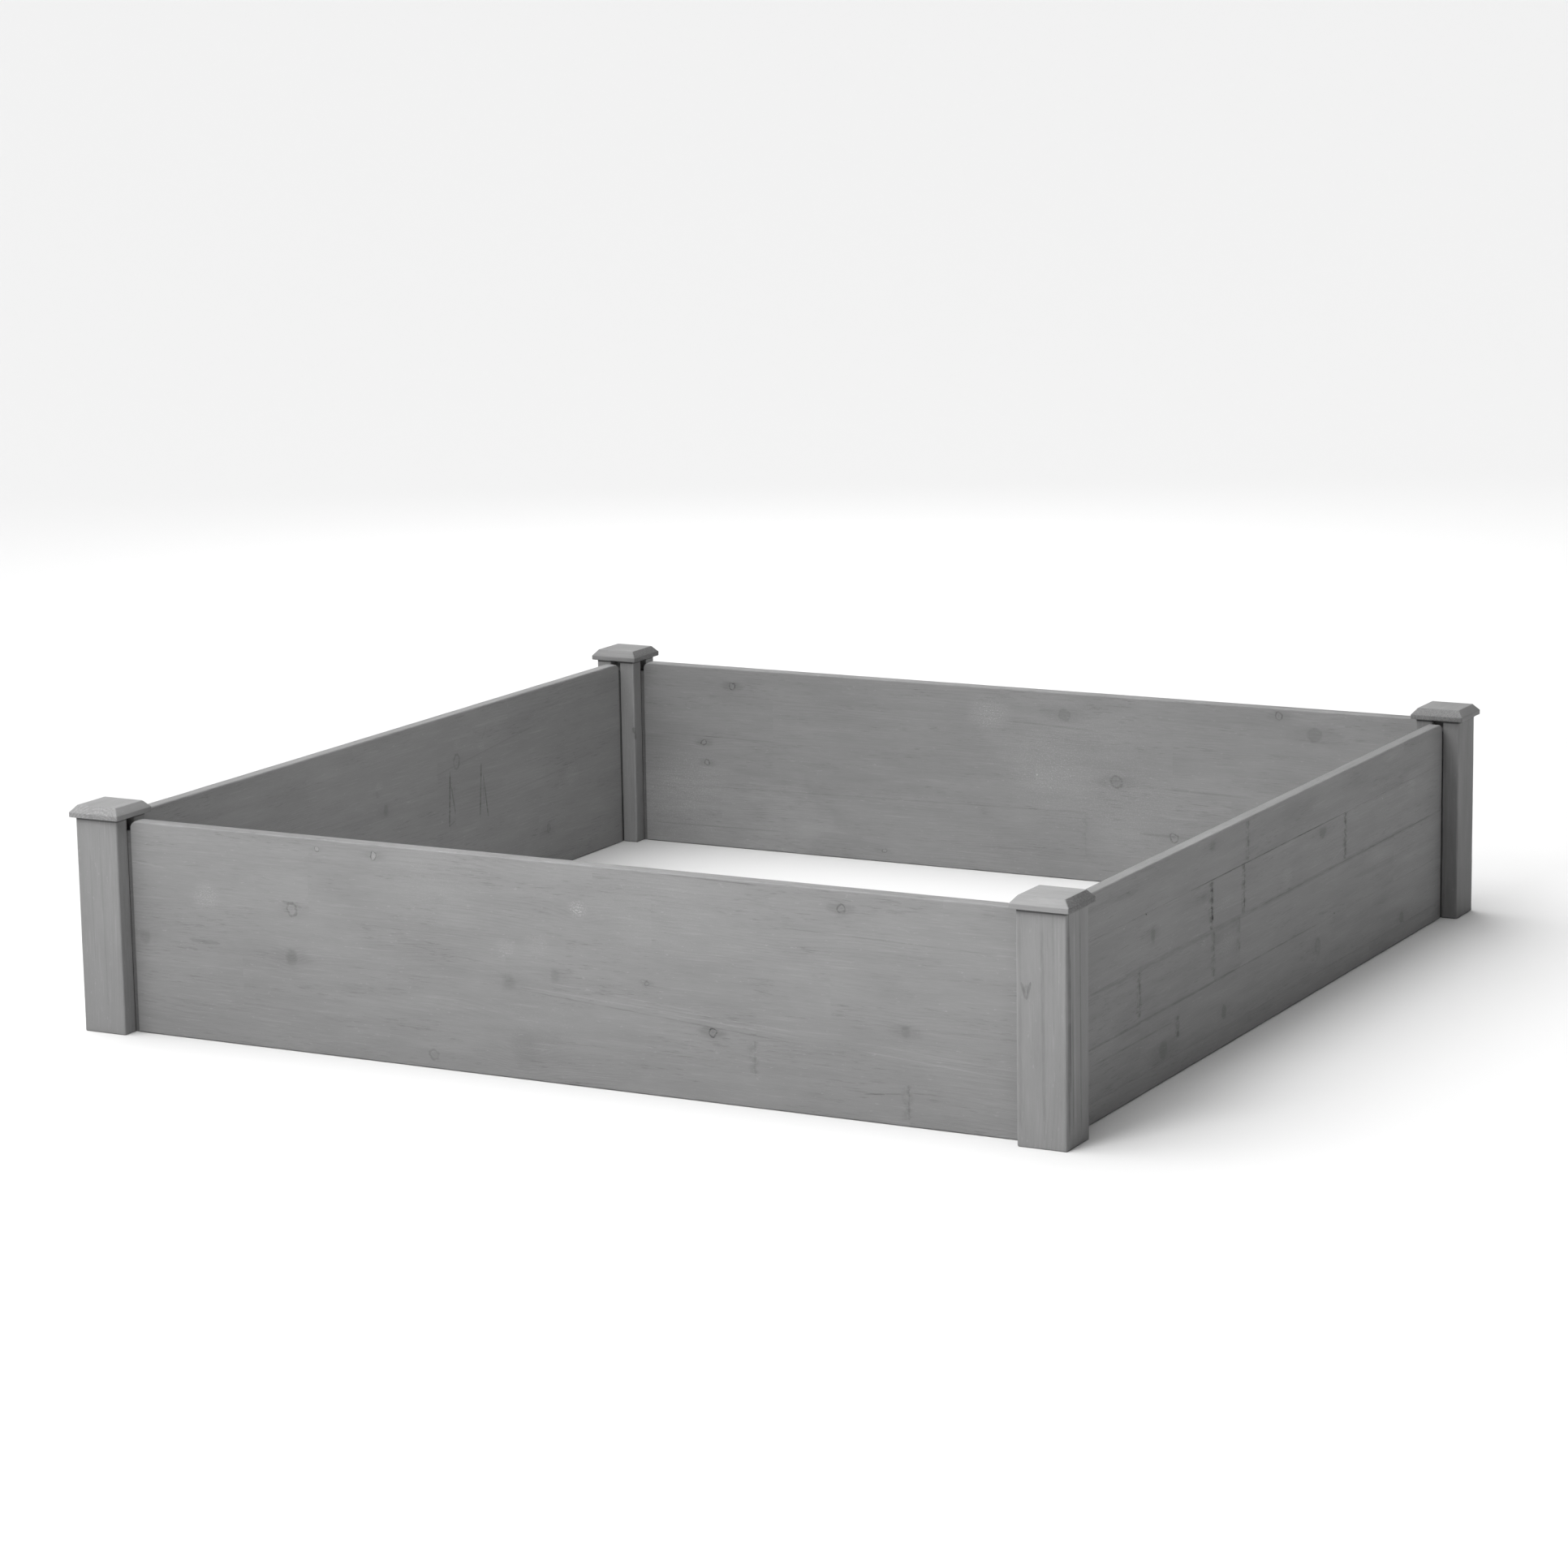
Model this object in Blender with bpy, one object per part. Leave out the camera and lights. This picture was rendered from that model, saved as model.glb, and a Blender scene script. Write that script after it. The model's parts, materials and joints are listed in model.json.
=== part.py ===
"""A raised garden bed frame, open at the top and the bottom.

Four grooved corner posts, each with a bevelled cap, stand on the ground and hold four wide boards.
Each board is glued up edge to edge from staves, and its ends carry a dovetail tongue that slides
in a groove of the post. Metres, +Z up. The origin is the centre of the footprint on the ground,
+X runs along the front board and +Y towards the back.
"""

import math

import bmesh
import bpy

# Overall sizes
FRAME_WIDTH = 1.209  # along X, over the posts' outer faces
FRAME_DEPTH = 1.209  # along Y, over the posts' outer faces
BOARD_HEIGHT = 0.242

# Corner posts
POST_SIDE = 0.055
CAP_CLEARANCE = 0.003  # from the boards' top edge up to the caps
POST_HEIGHT = BOARD_HEIGHT + CAP_CLEARANCE
POST_ARRIS = 0.0018  # radius of the eased vertical corners
POST_FOOT_ARRIS = 0.0012

# Boards
BOARD_THICKNESS = 0.0155
BOARD_ARRIS = 0.002  # radius along the top and bottom edges
SHOULDER_ARRIS = 0.0015  # radius of the vertical corners beside a tongue
CORNER_RADIUS = 0.009  # the board's top corners, seen from the front
SHOULDER_GAP = 0.004  # between a board's shoulder and the post's face
WHOLE_STAVES = 3  # in the middle of a board, between a narrower one at the bottom and at the top
STAVE_WIDTH = BOARD_HEIGHT * 57 / 242  # the whole staves: 57 mm in a board 242 mm high
GLUE_LINE = 0.0003

# Dovetail tongue on the boards, and the groove that it slides in
TONGUE_LENGTH = 0.016
NECK_INSET = 0.00245  # from the board's face in to the tongue's side, at the shoulder
TIP_INSET = 0.00025  # the same at the tongue's end, which is the wider
TONGUE_ROOT = BOARD_THICKNESS - 2 * NECK_INSET
TONGUE_TIP = BOARD_THICKNESS - 2 * TIP_INSET
TONGUE_TOP = BOARD_HEIGHT - CORNER_RADIUS - 0.003  # the tongue stops below the rounded corner
FLANK_CLEARANCE = 0.0006
TIP_CLEARANCE = 0.001
MOUTH_ARRIS = 0.0018  # radius of the groove's eased mouth

# Post caps and the hidden dowels that pin them
CAP_OVERHANG = 0.0055
CAP_LIP = 0.0055  # height of the upright edge
CAP_BEVEL_HEIGHT = 0.008
CAP_BEVEL_INSET = 0.007
CAP_ARRIS = 0.0008
CAP_CORNER = 0.0015  # radius of the cap's upright corners
SEAT_GAP = 0.0003
DOWEL_RADIUS = 0.005
DOWEL_CLEARANCE = 0.0003
DOWEL_IN_POST = 0.020
DOWEL_IN_CAP = 0.008
DOWEL_CHAMFER = 0.001
BORE_END_CLEARANCE = 0.001
DOWEL_SIDES = 32

ARC_STEPS = 3  # segments in each eased corner
GREY_STAIN = (0.30, 0.30, 0.30)
BARE_WOOD = (0.55, 0.42, 0.27)

# Each side's turn about the vertical, and how much of the width left over by the whole staves
# goes to its bottom stave: every board is ripped from the glued panel at a different place.
SIDES = {
    "front": (0.0, 0.63),
    "right": (math.pi / 2, 0.31),
    "back": (math.pi, 0.46),
    "left": (3 * math.pi / 2, 0.54),
}
# Each corner's turn, and its place in half widths and half depths.
CORNERS = {
    "front_left": (0.0, -1, -1),
    "front_right": (math.pi / 2, 1, -1),
    "back_right": (math.pi, 1, 1),
    "back_left": (3 * math.pi / 2, -1, 1),
}


def clear_scene():
    for obj in list(bpy.data.objects):
        bpy.data.objects.remove(obj, do_unlink=True)


def wood(name, color, roughness):
    material = bpy.data.materials.new(name)
    material.use_nodes = True
    shader = material.node_tree.nodes["Principled BSDF"]
    shader.inputs["Base Color"].default_value = (*color, 1.0)
    shader.inputs["Roughness"].default_value = roughness
    shader.inputs["Metallic"].default_value = 0.0
    return material


def arc(cx, cy, radius, start, turn):
    """Points along a round corner, from the angle start through the angle turn."""
    angles = [start + turn * step / ARC_STEPS for step in range(ARC_STEPS + 1)]
    return [(cx + radius * math.cos(a), cy + radius * math.sin(a)) for a in angles]


def quarter_round(radius):
    """(height above the arris's start, inset from the face) at each step of an eased edge."""
    angles = [math.pi / 2 * step / ARC_STEPS for step in range(ARC_STEPS + 1)]
    return [(radius * math.sin(a), radius * (1 - math.cos(a))) for a in angles]


def loft(name, sections):
    """A closed mesh through (outline, height) sections, all with the same number of points."""
    bm = bmesh.new()
    rings = [[bm.verts.new((x, y, z)) for x, y in outline] for outline, z in sections]
    for lower, upper in zip(rings, rings[1:]):
        for i in range(len(lower)):
            j = (i + 1) % len(lower)
            bm.faces.new((lower[i], lower[j], upper[j], upper[i]))
    bm.faces.new(list(reversed(rings[0])))
    bm.faces.new(rings[-1])
    return finish_mesh(bm, name)


def finish_mesh(bm, name):
    bmesh.ops.recalc_face_normals(bm, faces=bm.faces)
    mesh = bpy.data.meshes.new(name)
    bm.to_mesh(mesh)
    bm.free()
    mesh.shade_smooth()
    mesh.set_sharp_from_angle(angle=math.radians(35))
    return mesh


def add_object(name, mesh, parent, location=(0, 0, 0), material=None):
    obj = bpy.data.objects.new(name, mesh)
    bpy.context.scene.collection.objects.link(obj)
    obj.parent = parent
    obj.location = location
    if material:
        obj.data.materials.append(material)
    return obj


def add_empty(name, location, turn):
    empty = bpy.data.objects.new(name, None)
    bpy.context.scene.collection.objects.link(empty)
    empty.location = location
    empty.rotation_euler = (0, 0, turn)
    return empty


def drill(obj, radius, bottom, top):
    """Cuts a round upright hole on the object's own axis."""
    ring = [
        (radius * math.cos(a), radius * math.sin(a))
        for a in (2 * math.pi * i / DOWEL_SIDES for i in range(DOWEL_SIDES))
    ]
    cutter = add_object(f"{obj.name}_bore", loft(f"{obj.name}_bore", [(ring, bottom), (ring, top)]), obj)
    cutter.hide_render = True
    cutter.display_type = "WIRE"
    cut = obj.modifiers.new("dowel_bore", "BOOLEAN")
    cut.operation = "DIFFERENCE"
    cut.object = cutter


def groove_half_width(depth):
    """Half the groove's width, depth metres in from the post's face."""
    flare = (TONGUE_TIP - TONGUE_ROOT) / 2 / TONGUE_LENGTH
    return TONGUE_ROOT / 2 + flare * (SHOULDER_GAP + depth) + FLANK_CLEARANCE


def groove_depth():
    return TONGUE_LENGTH - SHOULDER_GAP + TIP_CLEARANCE


def post_side_points(inset):
    """Half of the post's outline: one corner and the grooved face after it, which looks along +X."""
    face = POST_SIDE / 2 - inset
    mouth = groove_half_width(inset + MOUTH_ARRIS)
    floor = POST_SIDE / 2 - groove_depth()
    floor_width = groove_half_width(groove_depth())
    corner = arc(face - POST_ARRIS, -face + POST_ARRIS, POST_ARRIS, -math.pi / 2, math.pi / 2)
    lower_mouth = arc(face - MOUTH_ARRIS, -mouth - MOUTH_ARRIS, MOUTH_ARRIS, 0, math.pi / 2)
    upper_mouth = arc(face - MOUTH_ARRIS, mouth + MOUTH_ARRIS, MOUTH_ARRIS, -math.pi / 2, math.pi / 2)
    return corner + lower_mouth + [(floor, -floor_width), (floor, floor_width)] + upper_mouth


def post_outline(inset):
    """The post in plan, with a dovetail groove in its +X face and another in its +Y face."""
    right = post_side_points(inset)
    top = [(-y, x) for x, y in right]
    face = POST_SIDE / 2 - inset
    plain = [
        point
        for sx, sy, start in ((-1, 1, math.pi / 2), (-1, -1, math.pi))
        for point in arc(sx * (face - POST_ARRIS), sy * (face - POST_ARRIS), POST_ARRIS, start, math.pi / 2)
    ]
    return right + top + plain


def post_mesh():
    foot = [(POST_FOOT_ARRIS - height, inset) for height, inset in quarter_round(POST_FOOT_ARRIS)]
    sections = [(post_outline(inset), z) for z, inset in reversed(foot)]
    sections.append((post_outline(0), POST_HEIGHT))
    return loft("post", sections)


def square_outline(half, radius):
    centre = half - radius
    return [
        point
        for sx, sy, start in ((1, -1, -math.pi / 2), (1, 1, 0), (-1, 1, math.pi / 2), (-1, -1, math.pi))
        for point in arc(sx * centre, sy * centre, radius, start, math.pi / 2)
    ]


def cap_mesh():
    """A square cap on its underside at z = 0: an upright lip, a bevel all round and a flat top."""
    half = POST_SIDE / 2 + CAP_OVERHANG
    height = CAP_LIP + CAP_BEVEL_HEIGHT
    profile = [(half - CAP_ARRIS, 0), (half, CAP_ARRIS), (half, CAP_LIP - CAP_ARRIS / 2)]
    slope = CAP_BEVEL_INSET / CAP_BEVEL_HEIGHT
    profile.append((half - slope * CAP_ARRIS / 2, CAP_LIP + CAP_ARRIS / 2))
    profile.append((half - CAP_BEVEL_INSET + slope * CAP_ARRIS / 2, height - CAP_ARRIS / 2))
    profile.append((half - CAP_BEVEL_INSET - CAP_ARRIS / 2, height))
    return loft("post_cap", [(square_outline(h, CAP_CORNER), z) for h, z in profile])


def dowel_mesh():
    length = DOWEL_IN_POST + DOWEL_IN_CAP
    profile = [
        (DOWEL_RADIUS - DOWEL_CHAMFER, 0),
        (DOWEL_RADIUS, DOWEL_CHAMFER),
        (DOWEL_RADIUS, length - DOWEL_CHAMFER),
        (DOWEL_RADIUS - DOWEL_CHAMFER, length),
    ]
    angles = [2 * math.pi * i / DOWEL_SIDES for i in range(DOWEL_SIDES)]
    return loft("cap_dowel", [([(r * math.cos(a), r * math.sin(a)) for a in angles], z) for r, z in profile])


def stave_levels(bottom, top, is_bottom, is_top):
    """(height, thickness inset, end inset) of each ring of a stave, from its lower edge up."""
    levels = [(bottom, 0.0, 0.0)]
    if is_bottom:
        foot = [(bottom + BOARD_ARRIS - h, inset, inset) for h, inset in quarter_round(BOARD_ARRIS)]
        levels = list(reversed(foot))
    if bottom < TONGUE_TOP < top:
        levels.append((TONGUE_TOP, 0.0, 0.0))
    if not is_top:
        return levels + [(top, 0.0, 0.0)]
    corner_start = top - CORNER_RADIUS
    heights = [corner_start + h for h, _ in quarter_round(CORNER_RADIUS)[:-1]]
    heights += [top - BOARD_ARRIS + h for h, _ in quarter_round(BOARD_ARRIS)]
    for z in sorted(heights):
        over_corner = min(z - corner_start, CORNER_RADIUS)
        over_arris = min(max(z - (top - BOARD_ARRIS), 0.0), BOARD_ARRIS)
        end_inset = CORNER_RADIUS - math.sqrt(CORNER_RADIUS**2 - over_corner**2)
        side_inset = BOARD_ARRIS - math.sqrt(BOARD_ARRIS**2 - over_arris**2)
        levels.append((z, side_inset, end_inset))
    return levels


def body_end(half_length, half_thickness, root):
    """The +X end of a stave's body in plan, with the two points where the tongue joins it."""
    x = half_length - SHOULDER_ARRIS
    y = half_thickness - SHOULDER_ARRIS
    lower = arc(x, -y, SHOULDER_ARRIS, -math.pi / 2, math.pi / 2)
    upper = arc(x, y, SHOULDER_ARRIS, 0, math.pi / 2)
    return lower + [(half_length, -root), (half_length, root)] + upper


def stave_mesh(name, shoulder_length, bottom, top, is_bottom, is_top):
    """One stave along X, centred on its thickness, with a dovetail tongue at both ends.

    Every level is a ring of the body. Up to the tongue's top the two tip points of each tongue
    stand out of the ring, between its two root points.
    """
    bm = bmesh.new()
    flat = BOARD_THICKNESS / 2 - SHOULDER_ARRIS
    rings = []
    for z, side_inset, end_inset in stave_levels(bottom, top, is_bottom, is_top):
        root = TONGUE_ROOT / 2 * (flat - side_inset) / flat
        right = body_end(shoulder_length / 2 - end_inset, BOARD_THICKNESS / 2 - side_inset, root)
        outline = right + [(-x, -y) for x, y in right]
        body = [bm.verts.new((x, y, z)) for x, y in outline]
        tip_x = shoulder_length / 2 + TONGUE_LENGTH - end_inset
        tip_y = TONGUE_TIP / 2 - side_inset
        has_tongue = bottom < TONGUE_TOP and z <= TONGUE_TOP
        tips = [(tip_x, -tip_y), (tip_x, tip_y), (-tip_x, tip_y), (-tip_x, -tip_y)] if has_tongue else []
        rings.append((body, [bm.verts.new((x, y, z)) for x, y in tips]))
    count = len(rings[0][0])
    first_root = ARC_STEPS + 1
    roots = (first_root, first_root + count // 2)
    for (low, low_tips), (high, high_tips) in zip(rings, rings[1:]):
        for i in range(count):
            j = (i + 1) % count
            if i in roots and high_tips:
                side = roots.index(i) * 2
                below = [low[i], low_tips[side], low_tips[side + 1], low[j]]
                above = [high[i], high_tips[side], high_tips[side + 1], high[j]]
                for k in range(3):
                    bm.faces.new((below[k], below[k + 1], above[k + 1], above[k]))
            else:
                bm.faces.new((low[i], low[j], high[j], high[i]))
        if low_tips and not high_tips:
            for side, i in enumerate(roots):
                bm.faces.new((low[i], low_tips[2 * side], low_tips[2 * side + 1], low[i + 1]))
    for body, tips in (rings[0], rings[-1]):
        cap = list(body)
        if tips:
            cap = body[: roots[0] + 1] + tips[:2] + body[roots[0] + 1 : roots[1] + 1] + tips[2:]
            cap += body[roots[1] + 1 :]
        bm.faces.new(cap)
    return finish_mesh(bm, name)


def stave_seams(bottom_share):
    """Heights of a board's lower edge, its glue lines and its top edge."""
    spare = BOARD_HEIGHT - WHOLE_STAVES * STAVE_WIDTH
    first = spare * bottom_share
    return [0.0] + [first + STAVE_WIDTH * i for i in range(WHOLE_STAVES + 1)] + [BOARD_HEIGHT]


def make_board(side, material):
    turn, bottom_share = SIDES[side]
    runs_along_x = side in ("front", "back")
    span = (FRAME_WIDTH if runs_along_x else FRAME_DEPTH) - 2 * POST_SIDE
    across = FRAME_DEPTH if runs_along_x else FRAME_WIDTH
    parent = add_empty(f"{side}_side", (0, 0, 0), turn)
    seams = stave_seams(bottom_share)
    last = len(seams) - 2
    for i, (low, high) in enumerate(zip(seams, seams[1:])):
        bottom = low + (GLUE_LINE / 2 if i > 0 else 0.0)
        top = high - (GLUE_LINE / 2 if i < last else 0.0)
        name = f"{side}_board_stave_{i + 1}"
        mesh = stave_mesh(name, span - 2 * SHOULDER_GAP, bottom, top, i == 0, i == last)
        add_object(name, mesh, parent, (0, -(across - POST_SIDE) / 2, 0), material)


def make_corner(corner, meshes):
    turn, x_side, y_side = CORNERS[corner]
    x = x_side * (FRAME_WIDTH - POST_SIDE) / 2
    y = y_side * (FRAME_DEPTH - POST_SIDE) / 2
    parent = add_empty(f"{corner}_corner", (x, y, 0), turn)
    cap_z = POST_HEIGHT + SEAT_GAP
    dowel_z = cap_z - DOWEL_IN_POST
    bore_radius = DOWEL_RADIUS + DOWEL_CLEARANCE
    post = add_object(f"{corner}_post", meshes["post"], parent)
    drill(post, bore_radius, dowel_z - BORE_END_CLEARANCE, POST_HEIGHT + BORE_END_CLEARANCE)
    cap = add_object(f"{corner}_post_cap", meshes["cap"], parent, (0, 0, cap_z))
    drill(cap, bore_radius, -BORE_END_CLEARANCE, DOWEL_IN_CAP + SEAT_GAP)
    add_object(f"{corner}_cap_dowel", meshes["dowel"], parent, (0, 0, dowel_z))


def main():
    clear_scene()
    materials = {
        "board": wood("stained_board", GREY_STAIN, 0.75),
        "post": wood("stained_post", GREY_STAIN, 0.75),
        "cap": wood("stained_cap", GREY_STAIN, 0.7),
        "dowel": wood("bare_dowel", BARE_WOOD, 0.8),
    }
    meshes = {"post": post_mesh(), "cap": cap_mesh(), "dowel": dowel_mesh()}
    for part, mesh in meshes.items():
        mesh.materials.append(materials[part])
    for corner in CORNERS:
        make_corner(corner, meshes)
    for side in SIDES:
        make_board(side, materials["board"])


main()
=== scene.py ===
"""The looks of the raised garden bed frame: grey-stained, finger-jointed softwood on a studio floor.

Every stave, post and cap of the CAD model is replaced by a finer piece of the same shape and size,
with worn arrises and its own grain. The hidden dowels keep their CAD meshes. Metres, +Z up.
"""

import json
import math

import bmesh
import bpy
import numpy as np
from mathutils import Matrix, Vector


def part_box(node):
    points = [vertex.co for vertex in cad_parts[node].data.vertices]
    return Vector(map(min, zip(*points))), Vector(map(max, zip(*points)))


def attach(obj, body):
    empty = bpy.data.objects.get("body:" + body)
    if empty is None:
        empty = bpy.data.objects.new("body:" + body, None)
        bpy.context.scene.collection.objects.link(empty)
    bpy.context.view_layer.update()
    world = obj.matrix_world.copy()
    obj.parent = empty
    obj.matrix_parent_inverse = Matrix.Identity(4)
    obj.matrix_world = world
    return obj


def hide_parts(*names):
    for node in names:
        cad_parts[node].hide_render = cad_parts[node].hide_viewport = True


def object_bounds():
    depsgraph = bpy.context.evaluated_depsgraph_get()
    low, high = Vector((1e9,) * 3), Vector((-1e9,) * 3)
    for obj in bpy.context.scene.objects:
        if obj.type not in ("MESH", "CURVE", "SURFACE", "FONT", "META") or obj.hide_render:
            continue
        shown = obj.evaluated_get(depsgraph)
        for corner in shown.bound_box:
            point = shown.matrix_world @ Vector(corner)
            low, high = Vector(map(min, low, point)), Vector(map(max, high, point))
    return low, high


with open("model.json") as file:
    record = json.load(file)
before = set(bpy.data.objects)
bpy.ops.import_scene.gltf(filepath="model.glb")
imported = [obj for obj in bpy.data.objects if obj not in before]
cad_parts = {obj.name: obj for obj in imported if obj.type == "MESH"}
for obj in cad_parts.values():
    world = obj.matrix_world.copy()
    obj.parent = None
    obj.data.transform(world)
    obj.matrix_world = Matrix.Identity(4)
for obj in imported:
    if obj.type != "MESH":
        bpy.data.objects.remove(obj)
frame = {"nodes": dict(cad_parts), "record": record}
CAD_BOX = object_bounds()

# Shape of the joinery, as in the CAD model
BOARD_ARRIS = 0.002
SHOULDER_ARRIS = 0.0015
CORNER_RADIUS = 0.009
SHOULDER_GAP = 0.004
TONGUE_LENGTH = 0.016
NECK_INSET = 0.00245
TIP_INSET = 0.00025
TONGUE_DROP = CORNER_RADIUS + 0.003
FLANK_CLEARANCE = 0.0006
TIP_CLEARANCE = 0.001
MOUTH_ARRIS = 0.0018
POST_ARRIS = 0.0018
POST_FOOT_ARRIS = 0.0012
CAP_LIP = 0.0055
CAP_BEVEL_INSET = 0.007
CAP_ARRIS = 0.0008
CAP_CORNER = 0.0015
BORE_RADIUS = 0.0053
POST_BORE_DEPTH = 0.0207
CAP_BORE_DEPTH = 0.0083

# How finely the pieces are drawn
ARC_STEPS = 5
CAP_ARC_STEPS = 4
SUPPORT = 0.0006  # distance of the support loops beside each arris
STATION_PITCH = 0.006  # along a stave
POST_PITCH = 0.006
SMOOTH_ANGLE = math.radians(34)

# Each board: the axis it runs along, the axis it faces outwards along, and which way out is
SIDES = {
    "front": (0, 1, -1),
    "right": (1, 0, 1),
    "back": (0, 1, 1),
    "left": (1, 0, -1),
}
STAVES = range(1, 6)
# Each corner's turn, in quarter turns
CORNERS = {"front_left": 0, "front_right": 1, "back_right": 2, "back_left": 3}

# Half the V at each board's four glue lines, from the lowest up; widest where the line shows most
GLUE_V = {
    "front": (0.00006, 0.00004, 0.00004, 0.00004),
    "right": (0.00006, 0.00010, 0.00014, 0.00012),
    "back": (0.00010, 0.00014, 0.00006, 0.00006),
    "left": (0.00006, 0.00010, 0.00010, 0.00006),
}
GLUE_GAP = 0.00003  # half the gap left between two staves

# Finger joints: where each stave's blocks meet, in metres along the board from its middle
JOINTS = {
    "front": ((0.42, -0.21), (0.243, -0.4), (-0.06, 0.33), (-0.31, 0.12), (0.05, 0.46)),
    "right": ((-0.27, 0.3), (-0.375, 0.13), (-0.175, -0.1, 0.38), (-0.18, -0.088, 0.22), (-0.08, 0.41)),
    "back": ((-0.22, 0.35), (0.1, -0.43), (0.03, 0.3), (-0.35, 0.22), (-0.02, 0.45)),
    "left": ((0.05, -0.36), (-0.12, 0.33), (0.13, -0.28), (0.09, 0.4), (-0.2, 0.26)),
}

# Knots on each board: along, height, radius, stretch upwards, core tone, outline, halo
KNOTS = {
    "front": (
        (-0.297, 0.231, 0.0025, 1.0, 0.2, 0.44, 0.12), (-0.224, 0.229, 0.0037, 1.0, 0.24, 0.46, 0.16),
        (-0.332, 0.16, 0.0064, 1.1, 0.05, 0.26, 0.1), (0.113, 0.121, 0.0026, 0.9, 0.04, 0.3, 0.22),
        (0.191, 0.076, 0.0043, 1.0, 0.04, 0.4, 0.36), (0.344, 0.222, 0.0044, 1.0, 0.04, 0.36, 0.3),
        (0.031, 0.193, 0.009, 0.8, -0.09, 0.0, 0.06), (-0.53, 0.111, 0.0064, 1.1, -0.15, 0.0, 0.06),
        (-0.335, 0.106, 0.0066, 1.1, -0.17, 0.0, 0.12), (-0.057, 0.106, 0.0078, 1.0, -0.13, 0.0, 0.1),
        (0.001, 0.118, 0.0056, 1.3, -0.13, 0.0, 0.1), (0.416, 0.1, 0.0048, 1.1, -0.13, 0.0, 0.2),
        (-0.154, 0.016, 0.006, 0.9, -0.04, 0.16, 0.06), (-0.039, 0.036, 0.015, 1.2, -0.07, 0.0, 0.08),
    ),
    "right": (
        (-0.341, 0.165, 0.005, 1.3, -0.18, 0.04, 0.16), (-0.314, 0.035, 0.01, 0.9, -0.16, 0.04, 0.14),
        (-0.146, 0.039, 0.006, 1.2, -0.22, 0.06, 0.14), (0.147, 0.183, 0.01, 0.6, -0.2, 0.04, 0.2),
        (0.409, 0.03, 0.006, 1.0, -0.14, 0.1, 0.12), (-0.18, 0.23, 0.008, 0.7, -0.14, 0.0, 0.12),
        (0.134, 0.053, 0.008, 1.1, -0.1, 0.1, 0.1), (-0.204, 0.178, 0.007, 0.7, -0.1, 0.0, 0.14),
        (-0.359, 0.192, 0.0013, 0.8, -0.8, 0.0, 0.0), (0.185, 0.08, 0.0012, 0.9, -0.55, 0.0, 0.0),
        (-0.179, 0.15, 0.0014, 1.6, -0.6, 0.0, 0.0), (-0.204, 0.13, 0.0016, 1.3, 0.22, 0.4, 0.0),
        (-0.417, 0.189, 0.001, 1.0, 0.6, 0.0, 0.0), (0.34, 0.188, 0.0011, 1.0, 0.45, 0.0, 0.0),
    ),
    "back": (
        (-0.411, 0.218, 0.0042, 1.0, 0.06, 0.4, 0.3), (-0.455, 0.14, 0.0037, 1.0, 0.12, 0.42, 0.28),
        (-0.45, 0.113, 0.0036, 1.0, 0.12, 0.42, 0.22), (-0.188, 0.015, 0.0036, 0.9, 0.1, 0.4, 0.12),
        (0.363, 0.232, 0.0044, 1.0, 0.05, 0.34, 0.18), (0.222, 0.066, 0.0053, 1.0, 0.02, 0.34, 0.04),
        (0.071, 0.213, 0.008, 0.9, -0.11, 0.08, 0.14), (0.41, 0.211, 0.009, 0.9, -0.13, 0.06, 0.14),
        (0.143, 0.132, 0.008, 1.0, -0.05, 0.16, 0.2), (0.032, 0.132, 0.0011, 1.0, 0.75, 0.3, 0.0),
    ),
    "left": (
        (0.135, 0.181, 0.0062, 1.6, 0.02, 0.26, 0.06), (-0.03, 0.149, 0.0048, 1.4, -0.15, 0.0, 0.1),
        (-0.047, 0.172, 0.0034, 1.4, -0.1, 0.0, 0.08), (0.354, 0.054, 0.0045, 1.2, -0.1, 0.1, 0.1),
        (0.192, 0.163, 0.003, 1.3, -0.12, 0.0, 0.0),
    ),
}

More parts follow.
